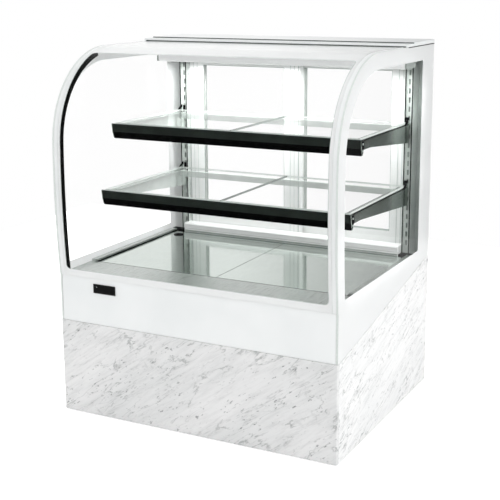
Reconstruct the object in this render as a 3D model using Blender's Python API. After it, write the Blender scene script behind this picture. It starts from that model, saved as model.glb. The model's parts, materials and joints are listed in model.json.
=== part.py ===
# Refrigerated glass display showcase with a curved front glass, as an assembly of separate pieces.
# Metres. The front faces -Y, +X is to the right of someone facing the front, and +Z is up.
# The origin is on the floor under the middle of the case.
from math import asin, cos, pi, radians, sin, sqrt

import bmesh
import bpy
from mathutils import Matrix, Vector

# Overall size
WIDTH = 0.900
DEPTH = 0.743
HEIGHT = 1.100

# Fits
GAP = 0.0003  # between pieces that rest on each other
SLIP = 0.001  # round pieces that drop into a cut-out
RUN = 0.003  # beside pieces that slide past each other

# Stone plinth and the frame behind it
PLINTH_FRONT = 0.288
PLINTH_REAR = 0.420
SLAB = 0.012
SLAB_PROUD = 0.003
SLAB_CHAMFER = 0.003
SKIRT_LIFT = 0.003
PAN_HEIGHT = 0.030
PAN = 0.003
UPRIGHT = 0.030
FOOT_RADIUS = 0.022
FOOT_PAD = 0.010
FOOT_STUD = 0.006
FOOT_INSET = 0.045

# Rear grille, recessed into the back
REAR_RECESS = 0.008
GRILLE = 0.003
LOUVRE_WIDTH = 0.160
LOUVRE_HEIGHT = 0.008
LOUVRE_PITCH = 0.022
LOUVRE_ROWS = 8
LOUVRE_BASE = 0.070

# Fascia and its temperature controller
FASCIA_HEIGHT = 0.139
FASCIA = 0.012
FASCIA_SETBACK = 0.013
LENS_WIDTH = 0.077
LENS_HEIGHT = 0.028
LENS = 0.002
LENS_LIP = 0.003
LENS_FROM_LEFT = 0.1205
LENS_BELOW_TOP = 0.0145
CONTROLLER_DEPTH = 0.036

# Insulated tank under the deck
TANK_WALL = 0.035
RIM_RISE = 0.005
PIPE_HOLE = 0.014

# Glass skin
GLASS = 0.006
SIDE_INSET = 0.0015
CORNER_RADIUS = 0.275
BELLY_RADIUS = 3.2
BELLY_RISE = 0.273
TRIM_WIDTH = 0.010
TRIM_LAP = 0.005
TRIM_GROOVE = 0.0012
SEAL_WIDTH = 0.0115
SEAL_DEPTH = 0.018
ARC_STEPS = 18
BELLY_STEPS = 6

# Top
COVER = 0.0115
LAMP_DEPTH = 0.072
LAMP_END_GAP = 0.018
LAMP_HEIGHT = 0.047
DIFFUSER = 0.020
DIFFUSER_LEAD = 0.010
STRIP_WIDTH = 0.051
STRIP = 0.009
STRIP_GAP = 0.0025

# Door tracks
TRACK = 0.003
RIB = 0.003
RIB_HEIGHT = 0.014
SILL_DEPTH = 0.043
SILL_HEIGHT = 0.032
SILL_GROOVE = 0.003
TOP_TRACK_HEIGHT = 0.047
TOP_TRACK_ROOF = 0.015

# Doors
DOOR = 0.022
STILE = 0.057
DOOR_RAIL = 0.050
PANE = 0.005
PANE_BITE = 0.009
DOOR_END_GAP = 0.0005
DOOR_LIFT = 0.006
DOOR_ENGAGE = 0.012
PULL_WIDTH = 0.026
PULL_HEIGHT = 0.140
PULL_DEPTH = 0.006
ROLLER_RADIUS = 0.009
ROLLER = 0.007
ROLLER_INSET = 0.070
ROLLER_PIN = 0.002

# Slotted rear posts
POST_WIDTH = 0.026
POST_OFFSET = 0.029  # between the post and the side glass, closed at the rear by a flange
POST_FLANGE = 0.020
POST_SETBACK = 0.0315
RECESS_WIDTH = 0.018
RECESS_DEPTH = 0.008
RECESS_INSET = 0.004
SLOT_WIDTH = 0.006
SLOT_HEIGHT = 0.016
SLOT_PITCH = 0.028
SLOT_DEPTH = 0.008
SLOT_FIRST = 0.038
SLOT_TOP_CLEAR = 0.080

# Shelves: the slot each bracket hooks into, and how far the front rail stands ahead of the posts
SHELVES = {"lower": {"slot": 6, "reach": 0.4795}, "upper": {"slot": 13, "reach": 0.414}}
SHELF_GLASS = 0.006
SHELF_LIP = 0.0035
PANE_JOINT = 0.0016
RAIL_END_GAP = 0.034
RAIL_LIP = 0.010
RAIL_LEDGE = 0.023
RAIL_DEPTH = 0.026
RAIL_FACE = 0.0255
RAIL_HEIGHT = 0.047
RAIL_NOSE = 0.012
WEB = 0.003
FLANGE = 0.0025
FLANGE_WIDTH = 0.018
BRACKET_FRONT = 0.030
BRACKET_REAR = 0.062
BRACKET_STRAIGHT = 0.070
HOOK_DROP = 0.018
HOOK_HEIGHT = 0.010
HOOK_LENGTH = 0.006
BAR = 0.008
BAR_HEIGHT = 0.020
BAR_SETBACK = 0.0545
SHELF_REAR_GAP = 0.0245

# Deck
SHEET = 0.003
LEDGE_DEPTH = 0.145
AIR_SLOT = 0.003
DECK_BEARING = 0.010
DECK_FLANGE = 0.018
FINGER_HOLE = 0.0125
FINGER_HOLE_FROM_SIDE = 0.026
FINGER_HOLE_FROM_REAR = 0.052

# Refrigeration unit in the plinth
COIL_WIDTH = 0.280
COIL_HEIGHT = 0.200
COIL_DEPTH = 0.044
COIL_FINS = 14
COIL_REAR_GAP = 0.012
COIL_X = -0.020
SHROUD_DEPTH = 0.040
SHROUD_WALL = 0.003
FAN_RADIUS = 0.085
HUB_RADIUS = 0.022
FAN_DEPTH = 0.020
MOTOR_RADIUS = 0.030
MOTOR_LENGTH = 0.050
SHAFT_RADIUS = 0.003
COMPRESSOR_RADIUS = 0.075
COMPRESSOR_HEIGHT = 0.190
COMPRESSOR_FROM_SIDE = 0.1677
PIPE_ANGLE = 53  # where the hot gas pipe meets the compressor, from its side towards the back
HOT_PIPE = 0.004
PIPE_SHARE = 0.65  # of the compressor's height, where the pipe meets its straight side
CONTROL_WIDTH = 0.140
CONTROL_HEIGHT = 0.090
CONTROL_DEPTH = 0.080
CONTROL_FROM_SIDE = 0.050
CONTROL_BASE = 0.150
ROCKER_WIDTH = 0.020
ROCKER_HEIGHT = 0.013
ROCKER_DEPTH = 0.010
ROCKER_TILT = 8
GLAND_RADIUS = 0.009

# Evaporator in the tank
EVAPORATOR_END_GAP = 0.090
EVAPORATOR_DEPTH = 0.120
EVAPORATOR_HEIGHT = 0.062
EVAPORATOR_FINS = 16
EVAPORATOR_FROM_REAR = 0.200
COLD_SHROUD_WIDTH = 0.160
COLD_SHROUD_HEIGHT = 0.080
COLD_FAN_RADIUS = 0.033
COLD_HUB_RADIUS = 0.012
COLD_MOTOR_RADIUS = 0.015
SUCTION_PIPE = 0.006
PIPE_BEND = 0.030

# Levels and faces that several pieces share
half = WIDTH / 2
front = -DEPTH / 2
rear = DEPTH / 2
fascia_front = front + FASCIA_SETBACK
fascia_back = fascia_front + FASCIA
fascia_base = PLINTH_FRONT + GAP
fascia_top = fascia_base + FASCIA_HEIGHT
slab_front = fascia_front - SLAB_PROUD
slab_back = slab_front + SLAB
slant_start = fascia_back + GAP
inner_half = half - SLAB - GAP
side_outer = half - SIDE_INSET
side_inner = side_outer - GLASS
skin_half = side_inner - GAP
glass_half = skin_half - TRIM_WIDTH - GAP
cover_base = HEIGHT - COVER
glass_top = cover_base - GAP
glass_foot = fascia_top + GAP
frame_rear = rear - REAR_RECESS
grille_front = frame_rear - GRILLE
tank_rear = grille_front - GAP
coil_rear = grille_front - COIL_REAR_GAP
pan_top = PAN_HEIGHT + PAN
rim = fascia_top + RIM_RISE
floor_level = rim + GAP
deck_top = floor_level + SHEET
well_half = inner_half - TANK_WALL
well_front = fascia_back + GAP + TANK_WALL
well_rear = tank_rear - TANK_WALL
well_floor = fascia_base + TANK_WALL
outer_door_rear = frame_rear - RIB - RUN
middle_rib = outer_door_rear - DOOR - RUN - RIB
inner_door_rear = middle_rib - RUN
sill_rear = inner_door_rear - DOOR - RUN
track_front = sill_rear - SILL_DEPTH
post_front = track_front + POST_SETBACK
post_outer = skin_half - POST_OFFSET
post_inner = post_outer - POST_WIDTH
track_half = post_inner - GAP
lamp_rear = track_front - GAP
lamp_front = lamp_rear - LAMP_DEPTH
strip_rear = lamp_front - GAP
strip_front = strip_rear - STRIP_WIDTH
glass_end = strip_front - STRIP_GAP
recess_centre = post_outer - RECESS_INSET - RECESS_WIDTH / 2
rail_half = side_inner - RAIL_END_GAP

FINISHES = {  # linear colour, roughness, metallic
    "white stone": ((0.78, 0.79, 0.79), 0.25, 0.0),
    "white paint": ((0.85, 0.87, 0.86), 0.30, 0.0),
    "clear glass": ((0.80, 0.86, 0.83), 0.02, 0.0),
    "brushed steel": ((0.62, 0.64, 0.63), 0.30, 1.0),
    "mirror steel": ((0.66, 0.68, 0.67), 0.12, 1.0),
    "aluminium": ((0.75, 0.76, 0.76), 0.35, 1.0),
    "black anodised": ((0.012, 0.016, 0.014), 0.35, 0.5),
    "black rubber": ((0.008, 0.008, 0.008), 0.60, 0.0),
    "black plastic": ((0.006, 0.006, 0.006), 0.20, 0.0),
    "white plastic": ((0.82, 0.82, 0.80), 0.40, 0.0),
    "opal plastic": ((0.85, 0.86, 0.86), 0.35, 0.0),
    "black enamel": ((0.015, 0.015, 0.016), 0.45, 0.0),
    "copper": ((0.72, 0.34, 0.22), 0.30, 1.0),
}


def clear_scene():
    for obj in list(bpy.data.objects):
        bpy.data.objects.remove(obj, do_unlink=True)


def paint(obj, finish):
    colour, roughness, metallic = FINISHES[finish]
    material = bpy.data.materials.new(f"{obj.name} {finish}")
    material.use_nodes = True
    shader = material.node_tree.nodes["Principled BSDF"]
    shader.inputs["Base Color"].default_value = (*colour, 1.0)
    shader.inputs["Roughness"].default_value = roughness
    shader.inputs["Metallic"].default_value = metallic
    obj.data.materials.clear()
    obj.data.materials.append(material)
    return obj


def solid(name, points, faces, origin=(0, 0, 0)):
    """An object with these corners in world space, and its own origin."""
    mesh = bpy.data.meshes.new(name)
    mesh.from_pydata([Vector(p) - Vector(origin) for p in points], [], faces)
    shape = bmesh.new()
    shape.from_mesh(mesh)
    bmesh.ops.recalc_face_normals(shape, faces=shape.faces)
    shape.to_mesh(mesh)
    shape.free()
    obj = bpy.data.objects.new(name, mesh)
    obj.location = origin
    bpy.context.collection.objects.link(obj)
    return obj


def blocks(name, corners, origin=(0, 0, 0)):
    """Boxes, each from its low corner to its high corner, as one object."""
    points, faces = [], []
    for low, high in corners:
        start = len(points)
        points += [(x, y, z) for z in (low[2], high[2]) for y in (low[1], high[1]) for x in (low[0], high[0])]
        quads = [(0, 1, 3, 2), (4, 5, 7, 6), (0, 1, 5, 4), (2, 3, 7, 6), (0, 2, 6, 4), (1, 3, 7, 5)]
        faces += [tuple(start + i for i in quad) for quad in quads]
    return solid(name, points, faces, origin)


def block(name, low, high, origin=(0, 0, 0)):
    return blocks(name, [(low, high)], origin)


def loft(name, rings, origin=(0, 0, 0)):
    """A closed skin over rings of equally many points, with a flat cap at each end."""
    count = len(rings[0])
    points = [p for ring in rings for p in ring]
    faces = [tuple(range(count)), tuple(range(len(points) - count, len(points)))]
    for row in range(len(rings) - 1):
        for i in range(count):
            j = (i + 1) % count
            a, b = row * count, (row + 1) * count
            faces.append((a + i, a + j, b + j, b + i))
    return solid(name, points, faces, origin)


def prism(name, outline, axis, start, stop, origin=(0, 0, 0)):
    """A flat outline pushed along X, Y or Z. The outline's pairs are the other two coordinates in order."""
    place = {"X": lambda p, t: (t, *p), "Y": lambda p, t: (p[0], t, p[1]), "Z": lambda p, t: (*p, t)}[axis]
    return loft(name, [[place(p, t) for p in outline] for t in (start, stop)], origin)


def turned(name, profile, centre, axis="Z", steps=24):
    """Radius and height pairs turned about an axis through the centre."""
    spin = {"Z": Matrix(), "Y": Matrix.Rotation(-pi / 2, 4, "X"), "X": Matrix.Rotation(pi / 2, 4, "Y")}[axis]
    rings = []
    for radius, height in profile:
        angles = [2 * pi * i / steps for i in range(steps)]
        ring = [Vector((radius * cos(a), radius * sin(a), height)) for a in angles]
        rings.append([Vector(centre) + spin @ p for p in ring])
    return loft(name, rings, centre)


def rod(name, centre, axis, radius, start, stop, steps=20):
    return turned(name, [(radius, start), (radius, stop)], centre, axis, steps)


def combine(obj, operation, tools):
    for tool in tools:
        step = obj.modifiers.new(operation.lower(), "BOOLEAN")
        step.operation = operation
        step.solver = "EXACT"
        step.object = tool
    bpy.context.view_layer.update()
    result = obj.evaluated_get(bpy.context.evaluated_depsgraph_get())
    mesh = bpy.data.meshes.new_from_object(result)
    obj.modifiers.clear()
    obj.data = mesh
    for tool in tools:
        bpy.data.objects.remove(tool, do_unlink=True)
    return obj


def cut(obj, *tools):
    return combine(obj, "DIFFERENCE", tools)


def fuse(obj, *tools):
    return combine(obj, "UNION", tools)


def sides():
    return (("left", -1), ("right", 1))


def span(side, near, far):
    """Low and high X of something between two distances from the middle, on one side."""
    return sorted((side * near, side * far))


def glass_line():
    """Points down the middle of the case along the front glass, each with its inward direction."""
    belly_y = front + BELLY_RADIUS
    belly_z = fascia_top + BELLY_RISE
    corner_z = glass_top - CORNER_RADIUS
    swing = BELLY_RADIUS - CORNER_RADIUS
    turn = asin((corner_z - belly_z) / swing)
    corner_y = belly_y - swing * cos(turn)
    low = -asin((belly_z - glass_foot) / BELLY_RADIUS)
    line = []
    for i in range(BELLY_STEPS):
        a = low + (turn - low) * i / BELLY_STEPS
        spot = (belly_y - BELLY_RADIUS * cos(a), belly_z + BELLY_RADIUS * sin(a))
        line.append((spot, (cos(a), -sin(a))))
    for i in range(ARC_STEPS + 1):
        a = turn + (pi / 2 - turn) * i / ARC_STEPS
        spot = (corner_y - CORNER_RADIUS * cos(a), corner_z + CORNER_RADIUS * sin(a))
        line.append((spot, (cos(a), -sin(a))))
    line.append(((glass_end, glass_top), (0, -1)))
    return line


def along_glass(name, section):
    """A section of X and inset pairs swept along the front glass line."""
    rings = []
    for (y, z), (inward_y, inward_z) in glass_line():
        rings.append([(x, y + inset * inward_y, z + inset * inward_z) for x, inset in section])
    return loft(name, rings)


def build_feet():
    profile = [
        (FOOT_RADIUS, 0), (FOOT_RADIUS, FOOT_PAD * 0.6), (FOOT_STUD * 1.8, FOOT_PAD),
        (FOOT_STUD, FOOT_PAD), (FOOT_STUD, PAN_HEIGHT - GAP),
    ]
    for side_name, side in sides():
        for end_name, y in (("front", slab_back + FOOT_INSET), ("rear", grille_front - FOOT_INSET)):
            centre = (side * (inner_half - FOOT_INSET), y, 0)
            paint(turned(f"foot_{end_name}_{side_name}", profile, centre), "black plastic")


def build_base_frame():
    low_y, high_y = slab_back + GAP, grille_front - GAP
    frame = block("base_frame", (-inner_half, low_y, PAN_HEIGHT), (inner_half, high_y, pan_top))
    uprights = []
    for _, side in sides():
        low_x, high_x = span(side, inner_half - UPRIGHT, inner_half)
        for y in (low_y, high_y - UPRIGHT):
            base = PAN_HEIGHT + PAN / 2
            uprights.append(block("upright", (low_x, y, base), (high_x, y + UPRIGHT, PLINTH_FRONT)))
    paint(fuse(frame, *uprights), "black enamel")


def build_plinth():
    c = SLAB_CHAMFER
    outline = [
        (-half, slab_back), (-half, slab_front + c), (-half + c, slab_front),
        (half - c, slab_front), (half, slab_front + c), (half, slab_back),
    ]
    paint(prism("plinth_front_slab", outline, "Z", SKIRT_LIFT, PLINTH_FRONT), "white stone")
    start = slab_back + GAP
    outline = [
        (start, SKIRT_LIFT), (rear, SKIRT_LIFT), (rear, PLINTH_REAR),
        (slant_start, PLINTH_FRONT), (start, PLINTH_FRONT),
    ]
    for name, side in sides():
        slab = prism(f"plinth_{name}_slab", outline, "X", *span(side, half - SLAB, half))
        paint(slab, "white stone")


def control_corner():
    """Low corner of the control box, which hangs on the grille."""
    return Vector((-inner_half + CONTROL_FROM_SIDE, grille_front - GAP - CONTROL_DEPTH, CONTROL_BASE))


def rocker_centre():
    return control_corner() + Vector((CONTROL_WIDTH / 2, CONTROL_DEPTH - RUN, CONTROL_HEIGHT / 2))


def build_rear_grille():
    low, high = (-inner_half, grille_front, SKIRT_LIFT), (inner_half, frame_rear, PLINTH_FRONT)
    louvres = []
    for column in (0, 1):
        x = COIL_X + (column - 0.5) * (LOUVRE_WIDTH + UPRIGHT / 2)
        for row in range(LOUVRE_ROWS):
            z = LOUVRE_BASE + row * LOUVRE_PITCH
            louvres.append((
                (x - LOUVRE_WIDTH / 2, grille_front - SLIP, z),
                (x + LOUVRE_WIDTH / 2, frame_rear + SLIP, z + LOUVRE_HEIGHT),
            ))
    window = Vector((ROCKER_WIDTH / 2 + RUN, GRILLE + RUN, ROCKER_HEIGHT / 2 + RUN))
    louvres.append((rocker_centre() - window, rocker_centre() + window + Vector((0, GRILLE, 0))))
    grille = cut(block("rear_grille", low, high), blocks("louvres", louvres))
    gland_at = (control_corner().x + CONTROL_WIDTH / 2, frame_rear, LOUVRE_BASE)
    gland = turned("gland", [
        (GLAND_RADIUS * 1.4, -GRILLE / 2), (GLAND_RADIUS * 1.4, REAR_RECESS * 0.4),
        (GLAND_RADIUS, REAR_RECESS * 0.4), (GLAND_RADIUS, REAR_RECESS * 0.8),
    ], gland_at, "Y")
    bore = rod("bore", gland_at, "Y", GLAND_RADIUS / 2, -2 * GRILLE, REAR_RECESS)
    paint(cut(fuse(grille, gland), bore), "brushed steel")


def lens_corner():
    return Vector((-half + LENS_FROM_LEFT, fascia_front, fascia_top - LENS_BELOW_TOP - LENS_HEIGHT))


def controller_body(margin):
    """Low and high corners of the controller's body, grown by a margin all round."""
    low = lens_corner() + Vector((LENS_LIP - margin, 0, LENS_LIP - margin))
    size = Vector((LENS_WIDTH - 2 * LENS_LIP + 2 * margin, CONTROLLER_DEPTH + margin, 0))
    size.z = LENS_HEIGHT - 2 * LENS_LIP + 2 * margin
    return low, low + size


def build_fascia():
    low, high = (-skin_half, fascia_front, fascia_base), (skin_half, fascia_back, fascia_top)
    window_low, window_high = controller_body(GAP)
    window_low.y = fascia_front - SLIP
    paint(cut(block("front_fascia", low, high), block("window", window_low, window_high)), "white paint")
    low, high = controller_body(0)
    low.y = fascia_front - GAP - LENS / 2
    body = block("temperature_controller", low, high)
    corner = lens_corner() - Vector((0, GAP + LENS, 0))
    lens = block("lens", corner, corner + Vector((LENS_WIDTH, LENS, LENS_HEIGHT)))
    paint(fuse(body, lens), "black plastic")


def pipe_hole_centre():
    return Vector((well_half - EVAPORATOR_END_GAP / 2, evaporator_low().y + EVAPORATOR_DEPTH / 2, 0))


def build_tank():
    tank = block("insulated_tank", (-inner_half, fascia_back + GAP, fascia_base), (inner_half, tank_rear, rim))
    well = block("well", (-well_half, well_front, well_floor), (well_half, well_rear, rim + SLIP))
    pocket_low, pocket_high = controller_body(SLIP)
    hole = rod("hole", pipe_hole_centre(), "Z", PIPE_HOLE, fascia_base - SLIP, well_floor + SLIP)
    paint(cut(tank, well, block("pocket", pocket_low, pocket_high), hole), "white plastic")


def fan_unit(name, mouth, size, radii, depth):
    """A fan with its shroud. The mouth is the middle of the shroud's open rear face."""
    width, height = size
    fan_radius, hub_radius, motor_radius = radii
    mouth = Vector(mouth)
    plate = mouth - Vector((0, depth, 0))
    wall = Vector((SHROUD_WALL, 0, SHROUD_WALL))
    reach = Vector((width / 2, 0, height / 2))
    shroud = block(f"{name}_shroud", plate - reach, mouth + reach)
    hollow_low = plate - reach + wall + Vector((0, SHROUD_WALL, 0))
    hollow = block("hollow", hollow_low, mouth + reach - wall + Vector((0, SLIP, 0)))
    throat = rod("throat", plate, "Y", fan_radius + RUN, -SLIP, SHROUD_WALL + SLIP, 28)
    cut(shroud, hollow, throat)
    strut = Vector((hub_radius / 2, 0, fan_radius + RUN + SHROUD_WALL))
    strut_front, strut_back = Vector((0, -SHROUD_WALL / 2, 0)), Vector((0, SHROUD_WALL / 2, 0))
    bar = block("bar", plate - strut + strut_front, plate + strut + strut_back)
    motor = rod("motor", plate, "Y", motor_radius, -MOTOR_LENGTH * motor_radius / MOTOR_RADIUS, 0)
    hub_start, hub_depth = SHROUD_WALL + SLIP, min(FAN_DEPTH, depth / 2)
    shaft = rod("shaft", plate, "Y", SHAFT_RADIUS, -SLIP, hub_start + hub_depth, 12)
    paint(fuse(shroud, bar, motor, shaft), "black enamel")
    fan = rod(f"{name}_fan", plate, "Y", hub_radius, hub_start, hub_start + hub_depth)
    blades = []
    for i in range(5):
        middle = (hub_radius * 0.7 + fan_radius) / 2
        long, wide = (fan_radius - hub_radius * 0.7) / 2, hub_depth * 0.9
        blade = block("blade", (middle - long, -SHROUD_WALL / 4, -wide), (middle + long, SHROUD_WALL / 4, wide))
        pitch = Matrix.Rotation(radians(25), 4, "X")
        turn = Matrix.Rotation(2 * pi * i / 5, 4, "Y")
        centre = Matrix.Translation(plate + Vector((0, hub_start + hub_depth / 2, 0)))
        blade.matrix_world = centre @ turn @ pitch
        blades.append(blade)
    fuse(fan, *blades)
    paint(cut(fan, rod("bore", plate, "Y", SHAFT_RADIUS + GAP, 0, depth, 12)), "aluminium")


def finned(name, low, high, fins):
    """A coil block with grooves between its fins, front and back."""
    pitch = (high[0] - low[0]) / (2 * fins + 1)
    groove = (high[1] - low[1]) / 3
    near, far = [], []
    for i in range(2 * fins + 1):
        x = low[0] + i * pitch
        step = groove if i % 2 else 0
        near += [(x, low[1] + step), (x + pitch, low[1] + step)]
        far += [(x, high[1] - step), (x + pitch, high[1] - step)]
    return prism(name, near + far[::-1], "Z", low[2], high[2])


def compressor_centre():
    """Its hot gas pipe runs straight into the middle of the coil."""
    y = coil_rear - COIL_DEPTH / 2 - COMPRESSOR_RADIUS * sin(radians(PIPE_ANGLE))
    return Vector((inner_half - COMPRESSOR_FROM_SIDE, y, pan_top + GAP))


def build_condenser():
    coil_front = coil_rear - COIL_DEPTH
    base = pan_top + GAP
    coil = finned(
        "condenser_coil", (COIL_X - COIL_WIDTH / 2, coil_front, base),
        (COIL_X + COIL_WIDTH / 2, coil_rear, base + COIL_HEIGHT), COIL_FINS,
    )
    pipe_at = Vector((0, coil_front + COIL_DEPTH / 2, base + COMPRESSOR_HEIGHT * PIPE_SHARE))
    near_side = COMPRESSOR_RADIUS * sin(radians(PIPE_ANGLE)) - HOT_PIPE
    meets = compressor_centre().x - sqrt(COMPRESSOR_RADIUS ** 2 - near_side ** 2) - GAP
    pipe = rod("pipe", pipe_at, "X", HOT_PIPE, COIL_X + COIL_WIDTH / 2 - COIL_DEPTH, meets, 12)
    paint(fuse(coil, pipe), "copper")
    mouth = (COIL_X, coil_front - GAP, base + COIL_HEIGHT / 2)
    fan_unit("condenser", mouth, (COIL_WIDTH, COIL_HEIGHT), (FAN_RADIUS, HUB_RADIUS, MOTOR_RADIUS), SHROUD_DEPTH)


def build_compressor():
    r, h = COMPRESSOR_RADIUS, COMPRESSOR_HEIGHT
    profile = [
        (r * 0.55, 0), (r * 0.55, h * 0.1), (r * 0.94, h * 0.16), (r, h * 0.26), (r, h * 0.46),
        (r * 1.05, h * 0.48), (r * 1.05, h * 0.52), (r, h * 0.54), (r, h * 0.78),
        (r * 0.82, h * 0.93), (r * 0.35, h),
    ]
    centre = compressor_centre()
    can = turned("compressor", profile, centre, "Z", 28)
    plate = Vector((r * 1.1, r * 1.1, 0))
    foot = block("foot", centre - plate, centre + plate + Vector((0, 0, h * 0.03)))
    paint(fuse(can, foot), "black enamel")


def build_control_box():
    low = control_corner()
    high = low + Vector((CONTROL_WIDTH, CONTROL_DEPTH, CONTROL_HEIGHT))
    centre = rocker_centre()
    pocket = Vector((ROCKER_WIDTH / 2 + SLIP, ROCKER_DEPTH, ROCKER_HEIGHT / 2 + RUN))
    box = cut(block("control_box", low, high), block("pocket", centre - pocket, centre + pocket))
    pin_radius = ROCKER_DEPTH / 6
    pin = rod("pin", centre, "X", pin_radius, -ROCKER_WIDTH / 2 - RUN, ROCKER_WIDTH / 2 + RUN, 12)
    paint(fuse(box, pin), "white plastic")
    tall, deep = ROCKER_HEIGHT / 2, ROCKER_DEPTH / 2
    outline = [(-deep, -tall), (deep, -tall), (deep * 0.6, 0), (deep, tall), (-deep, tall)]
    tilt = Matrix.Rotation(radians(ROCKER_TILT), 2)
    points = [tilt @ Vector(p) + centre.yz for p in outline]
    rocker = prism(
        "light_switch", points, "X", centre.x - ROCKER_WIDTH / 2, centre.x + ROCKER_WIDTH / 2, centre,
    )
    bore = rod("bore", centre, "X", pin_radius + GAP, -ROCKER_WIDTH, ROCKER_WIDTH, 12)
    paint(cut(rocker, bore), "black plastic")


def evaporator_low():
    low_y = well_rear - EVAPORATOR_FROM_REAR - EVAPORATOR_DEPTH / 2
    return Vector((-well_half + EVAPORATOR_END_GAP, low_y, well_floor + GAP))


def build_evaporator():
    low = evaporator_low()
    high = Vector((-low.x, low.y + EVAPORATOR_DEPTH, low.z + EVAPORATOR_HEIGHT))
    paint(finned("evaporator_coil", low, high, EVAPORATOR_FINS), "aluminium")
    mouth = (0, low.y - GAP, low.z + COLD_SHROUD_HEIGHT / 2)
    radii = (COLD_FAN_RADIUS, COLD_HUB_RADIUS, COLD_MOTOR_RADIUS)
    fan_unit("evaporator", mouth, (COLD_SHROUD_WIDTH, COLD_SHROUD_HEIGHT), radii, SHROUD_DEPTH)


def bent_route(corners, radius, steps=5):
    """Points along straight runs joined by round bends."""
    points = [corners[0]]
    for before, corner, after in zip(corners, corners[1:], corners[2:]):
        way_in, way_out = (corner - before).normalized(), (after - corner).normalized()
        start, stop = corner - way_in * radius, corner + way_out * radius
        for i in range(steps + 1):
            t = i / steps
            points.append(start * (1 - t) ** 2 + corner * 2 * t * (1 - t) + stop * t ** 2)
    return points + [corners[-1]]


def build_suction_pipe():
    low = evaporator_low()
    hole, can = pipe_hole_centre(), compressor_centre()
    run = fascia_base - PIPE_BEND * 0.7
    start = Vector((-low.x + GAP, hole.y, low.z + EVAPORATOR_HEIGHT / 2))
    over, under = Vector((hole.x, hole.y, start.z)), Vector((hole.x, hole.y, run))
    end = Vector((can.x, can.y, can.z + COMPRESSOR_HEIGHT + GAP))
    beside = Vector((can.x, can.y, run))
    bend = min(PIPE_BEND, (over - start).length * 0.9, (run - end.z) * 0.9)
    curve = bpy.data.curves.new("suction_pipe", "CURVE")
    curve.dimensions = "3D"
    curve.bevel_depth = SUCTION_PIPE
    curve.bevel_resolution = 2
    curve.use_fill_caps = True
    points = bent_route([start, over, under, beside, end], bend)
    spline = curve.splines.new("POLY")
    spline.points.add(len(points) - 1)
    for spot, point in zip(spline.points, points):
        spot.co = (*point, 1)
    pipe = bpy.data.objects.new("suction_pipe", curve)
    bpy.context.collection.objects.link(pipe)
    paint(pipe, "copper")


def build_deck():
    ledge_rear = fascia_front + LEDGE_DEPTH
    ledge_low = (-inner_half, fascia_back + GAP, floor_level)
    ledge = block("front_ledge", ledge_low, (inner_half, ledge_rear, deck_top))
    lip_low = (-well_half + RUN, ledge_rear - SHEET, rim - DECK_FLANGE)
    lip = block("lip", lip_low, (well_half - RUN, ledge_rear, deck_top))
    paint(fuse(ledge, lip), "brushed steel")
    low_y, high_y = ledge_rear + AIR_SLOT, track_front - RUN
    for name, side in sides():
        low_x, high_x = span(side, PANE_JOINT / 2, well_half + DECK_BEARING)
        deck = block(f"deck_{name}", (low_x, low_y, floor_level), (high_x, high_y, deck_top))
        low_x, high_x = span(side, PANE_JOINT / 2 + RUN, well_half - RUN)
        flanges = [
            block("flange", (low_x, y, rim - DECK_FLANGE), (high_x, y + SHEET, floor_level + SHEET / 2))
            for y in (low_y, high_y - SHEET)
        ]
        fuse(deck, *flanges)
        if side < 0:
            spot = (-well_half + FINGER_HOLE_FROM_SIDE, high_y - FINGER_HOLE_FROM_REAR, deck_top)
            cut(deck, rod("finger_hole", spot, "Z", FINGER_HOLE, -2 * SHEET, SHEET))
        paint(deck, "mirror steel")


def build_tracks():
    foot, sill_top, rib_top = floor_level, floor_level + SILL_HEIGHT, floor_level + RIB_HEIGHT
    base, g = foot + TRACK, SILL_GROOVE
    grooved = [(track_front, foot)]
    for i in (1, 2):
        z = foot + SILL_HEIGHT * i / 3
        grooved += [(track_front, z - g / 2), (track_front + g / 2, z), (track_front, z + g / 2)]
    outline = grooved + [
        (track_front, sill_top - g), (track_front + g, sill_top), (sill_rear, sill_top), (sill_rear, base),
        (middle_rib, base), (middle_rib, rib_top), (middle_rib + RIB, rib_top), (middle_rib + RIB, base),
        (frame_rear - RIB, base), (frame_rear - RIB, rib_top), (frame_rear, rib_top), (frame_rear, foot),
    ]
    paint(prism("bottom_track", outline, "X", -track_half, track_half), "aluminium")
    roof, ceiling, drop = glass_top, glass_top - TOP_TRACK_ROOF, glass_top - TOP_TRACK_HEIGHT
    outline = [
        (track_front, roof), (track_front, drop), (sill_rear, drop), (sill_rear, ceiling),
        (middle_rib, ceiling), (middle_rib, drop), (middle_rib + RIB, drop), (middle_rib + RIB, ceiling),
        (frame_rear - RIB, ceiling), (frame_rear - RIB, drop), (frame_rear, drop), (frame_rear, roof),
    ]
    paint(prism("top_track", outline, "X", -track_half, track_half), "aluminium")


def slot_height(index):
    return rim + SLOT_FIRST + index * SLOT_PITCH


def build_posts():
    count = int((glass_top - SLOT_TOP_CLEAR - slot_height(0)) / SLOT_PITCH) + 1
    back = post_front + RECESS_DEPTH
    for name, side in sides():
        near, far = recess_centre - RECESS_WIDTH / 2, recess_centre + RECESS_WIDTH / 2
        outline = [
            (post_inner, post_front), (near, post_front), (near, back), (far, back), (far, post_front),
            (post_outer, post_front), (post_outer, frame_rear - POST_FLANGE),
            (skin_half, frame_rear - POST_FLANGE), (skin_half, frame_rear), (post_inner, frame_rear),
        ]
        outline = [(side * x, y) for x, y in outline]
        post = prism(f"rear_post_{name}", outline, "Z", floor_level, glass_top)
        low_x, high_x = span(side, recess_centre - SLOT_WIDTH / 2, recess_centre + SLOT_WIDTH / 2)
        slots = []
        for i in range(count):
            low_z, high_z = slot_height(i) - SLOT_HEIGHT / 2, slot_height(i) + SLOT_HEIGHT / 2
            slots.append(((low_x, back - SLIP, low_z), (high_x, back + SLOT_DEPTH, high_z)))
        paint(cut(post, blocks("slots", slots)), "mirror steel")


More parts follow.
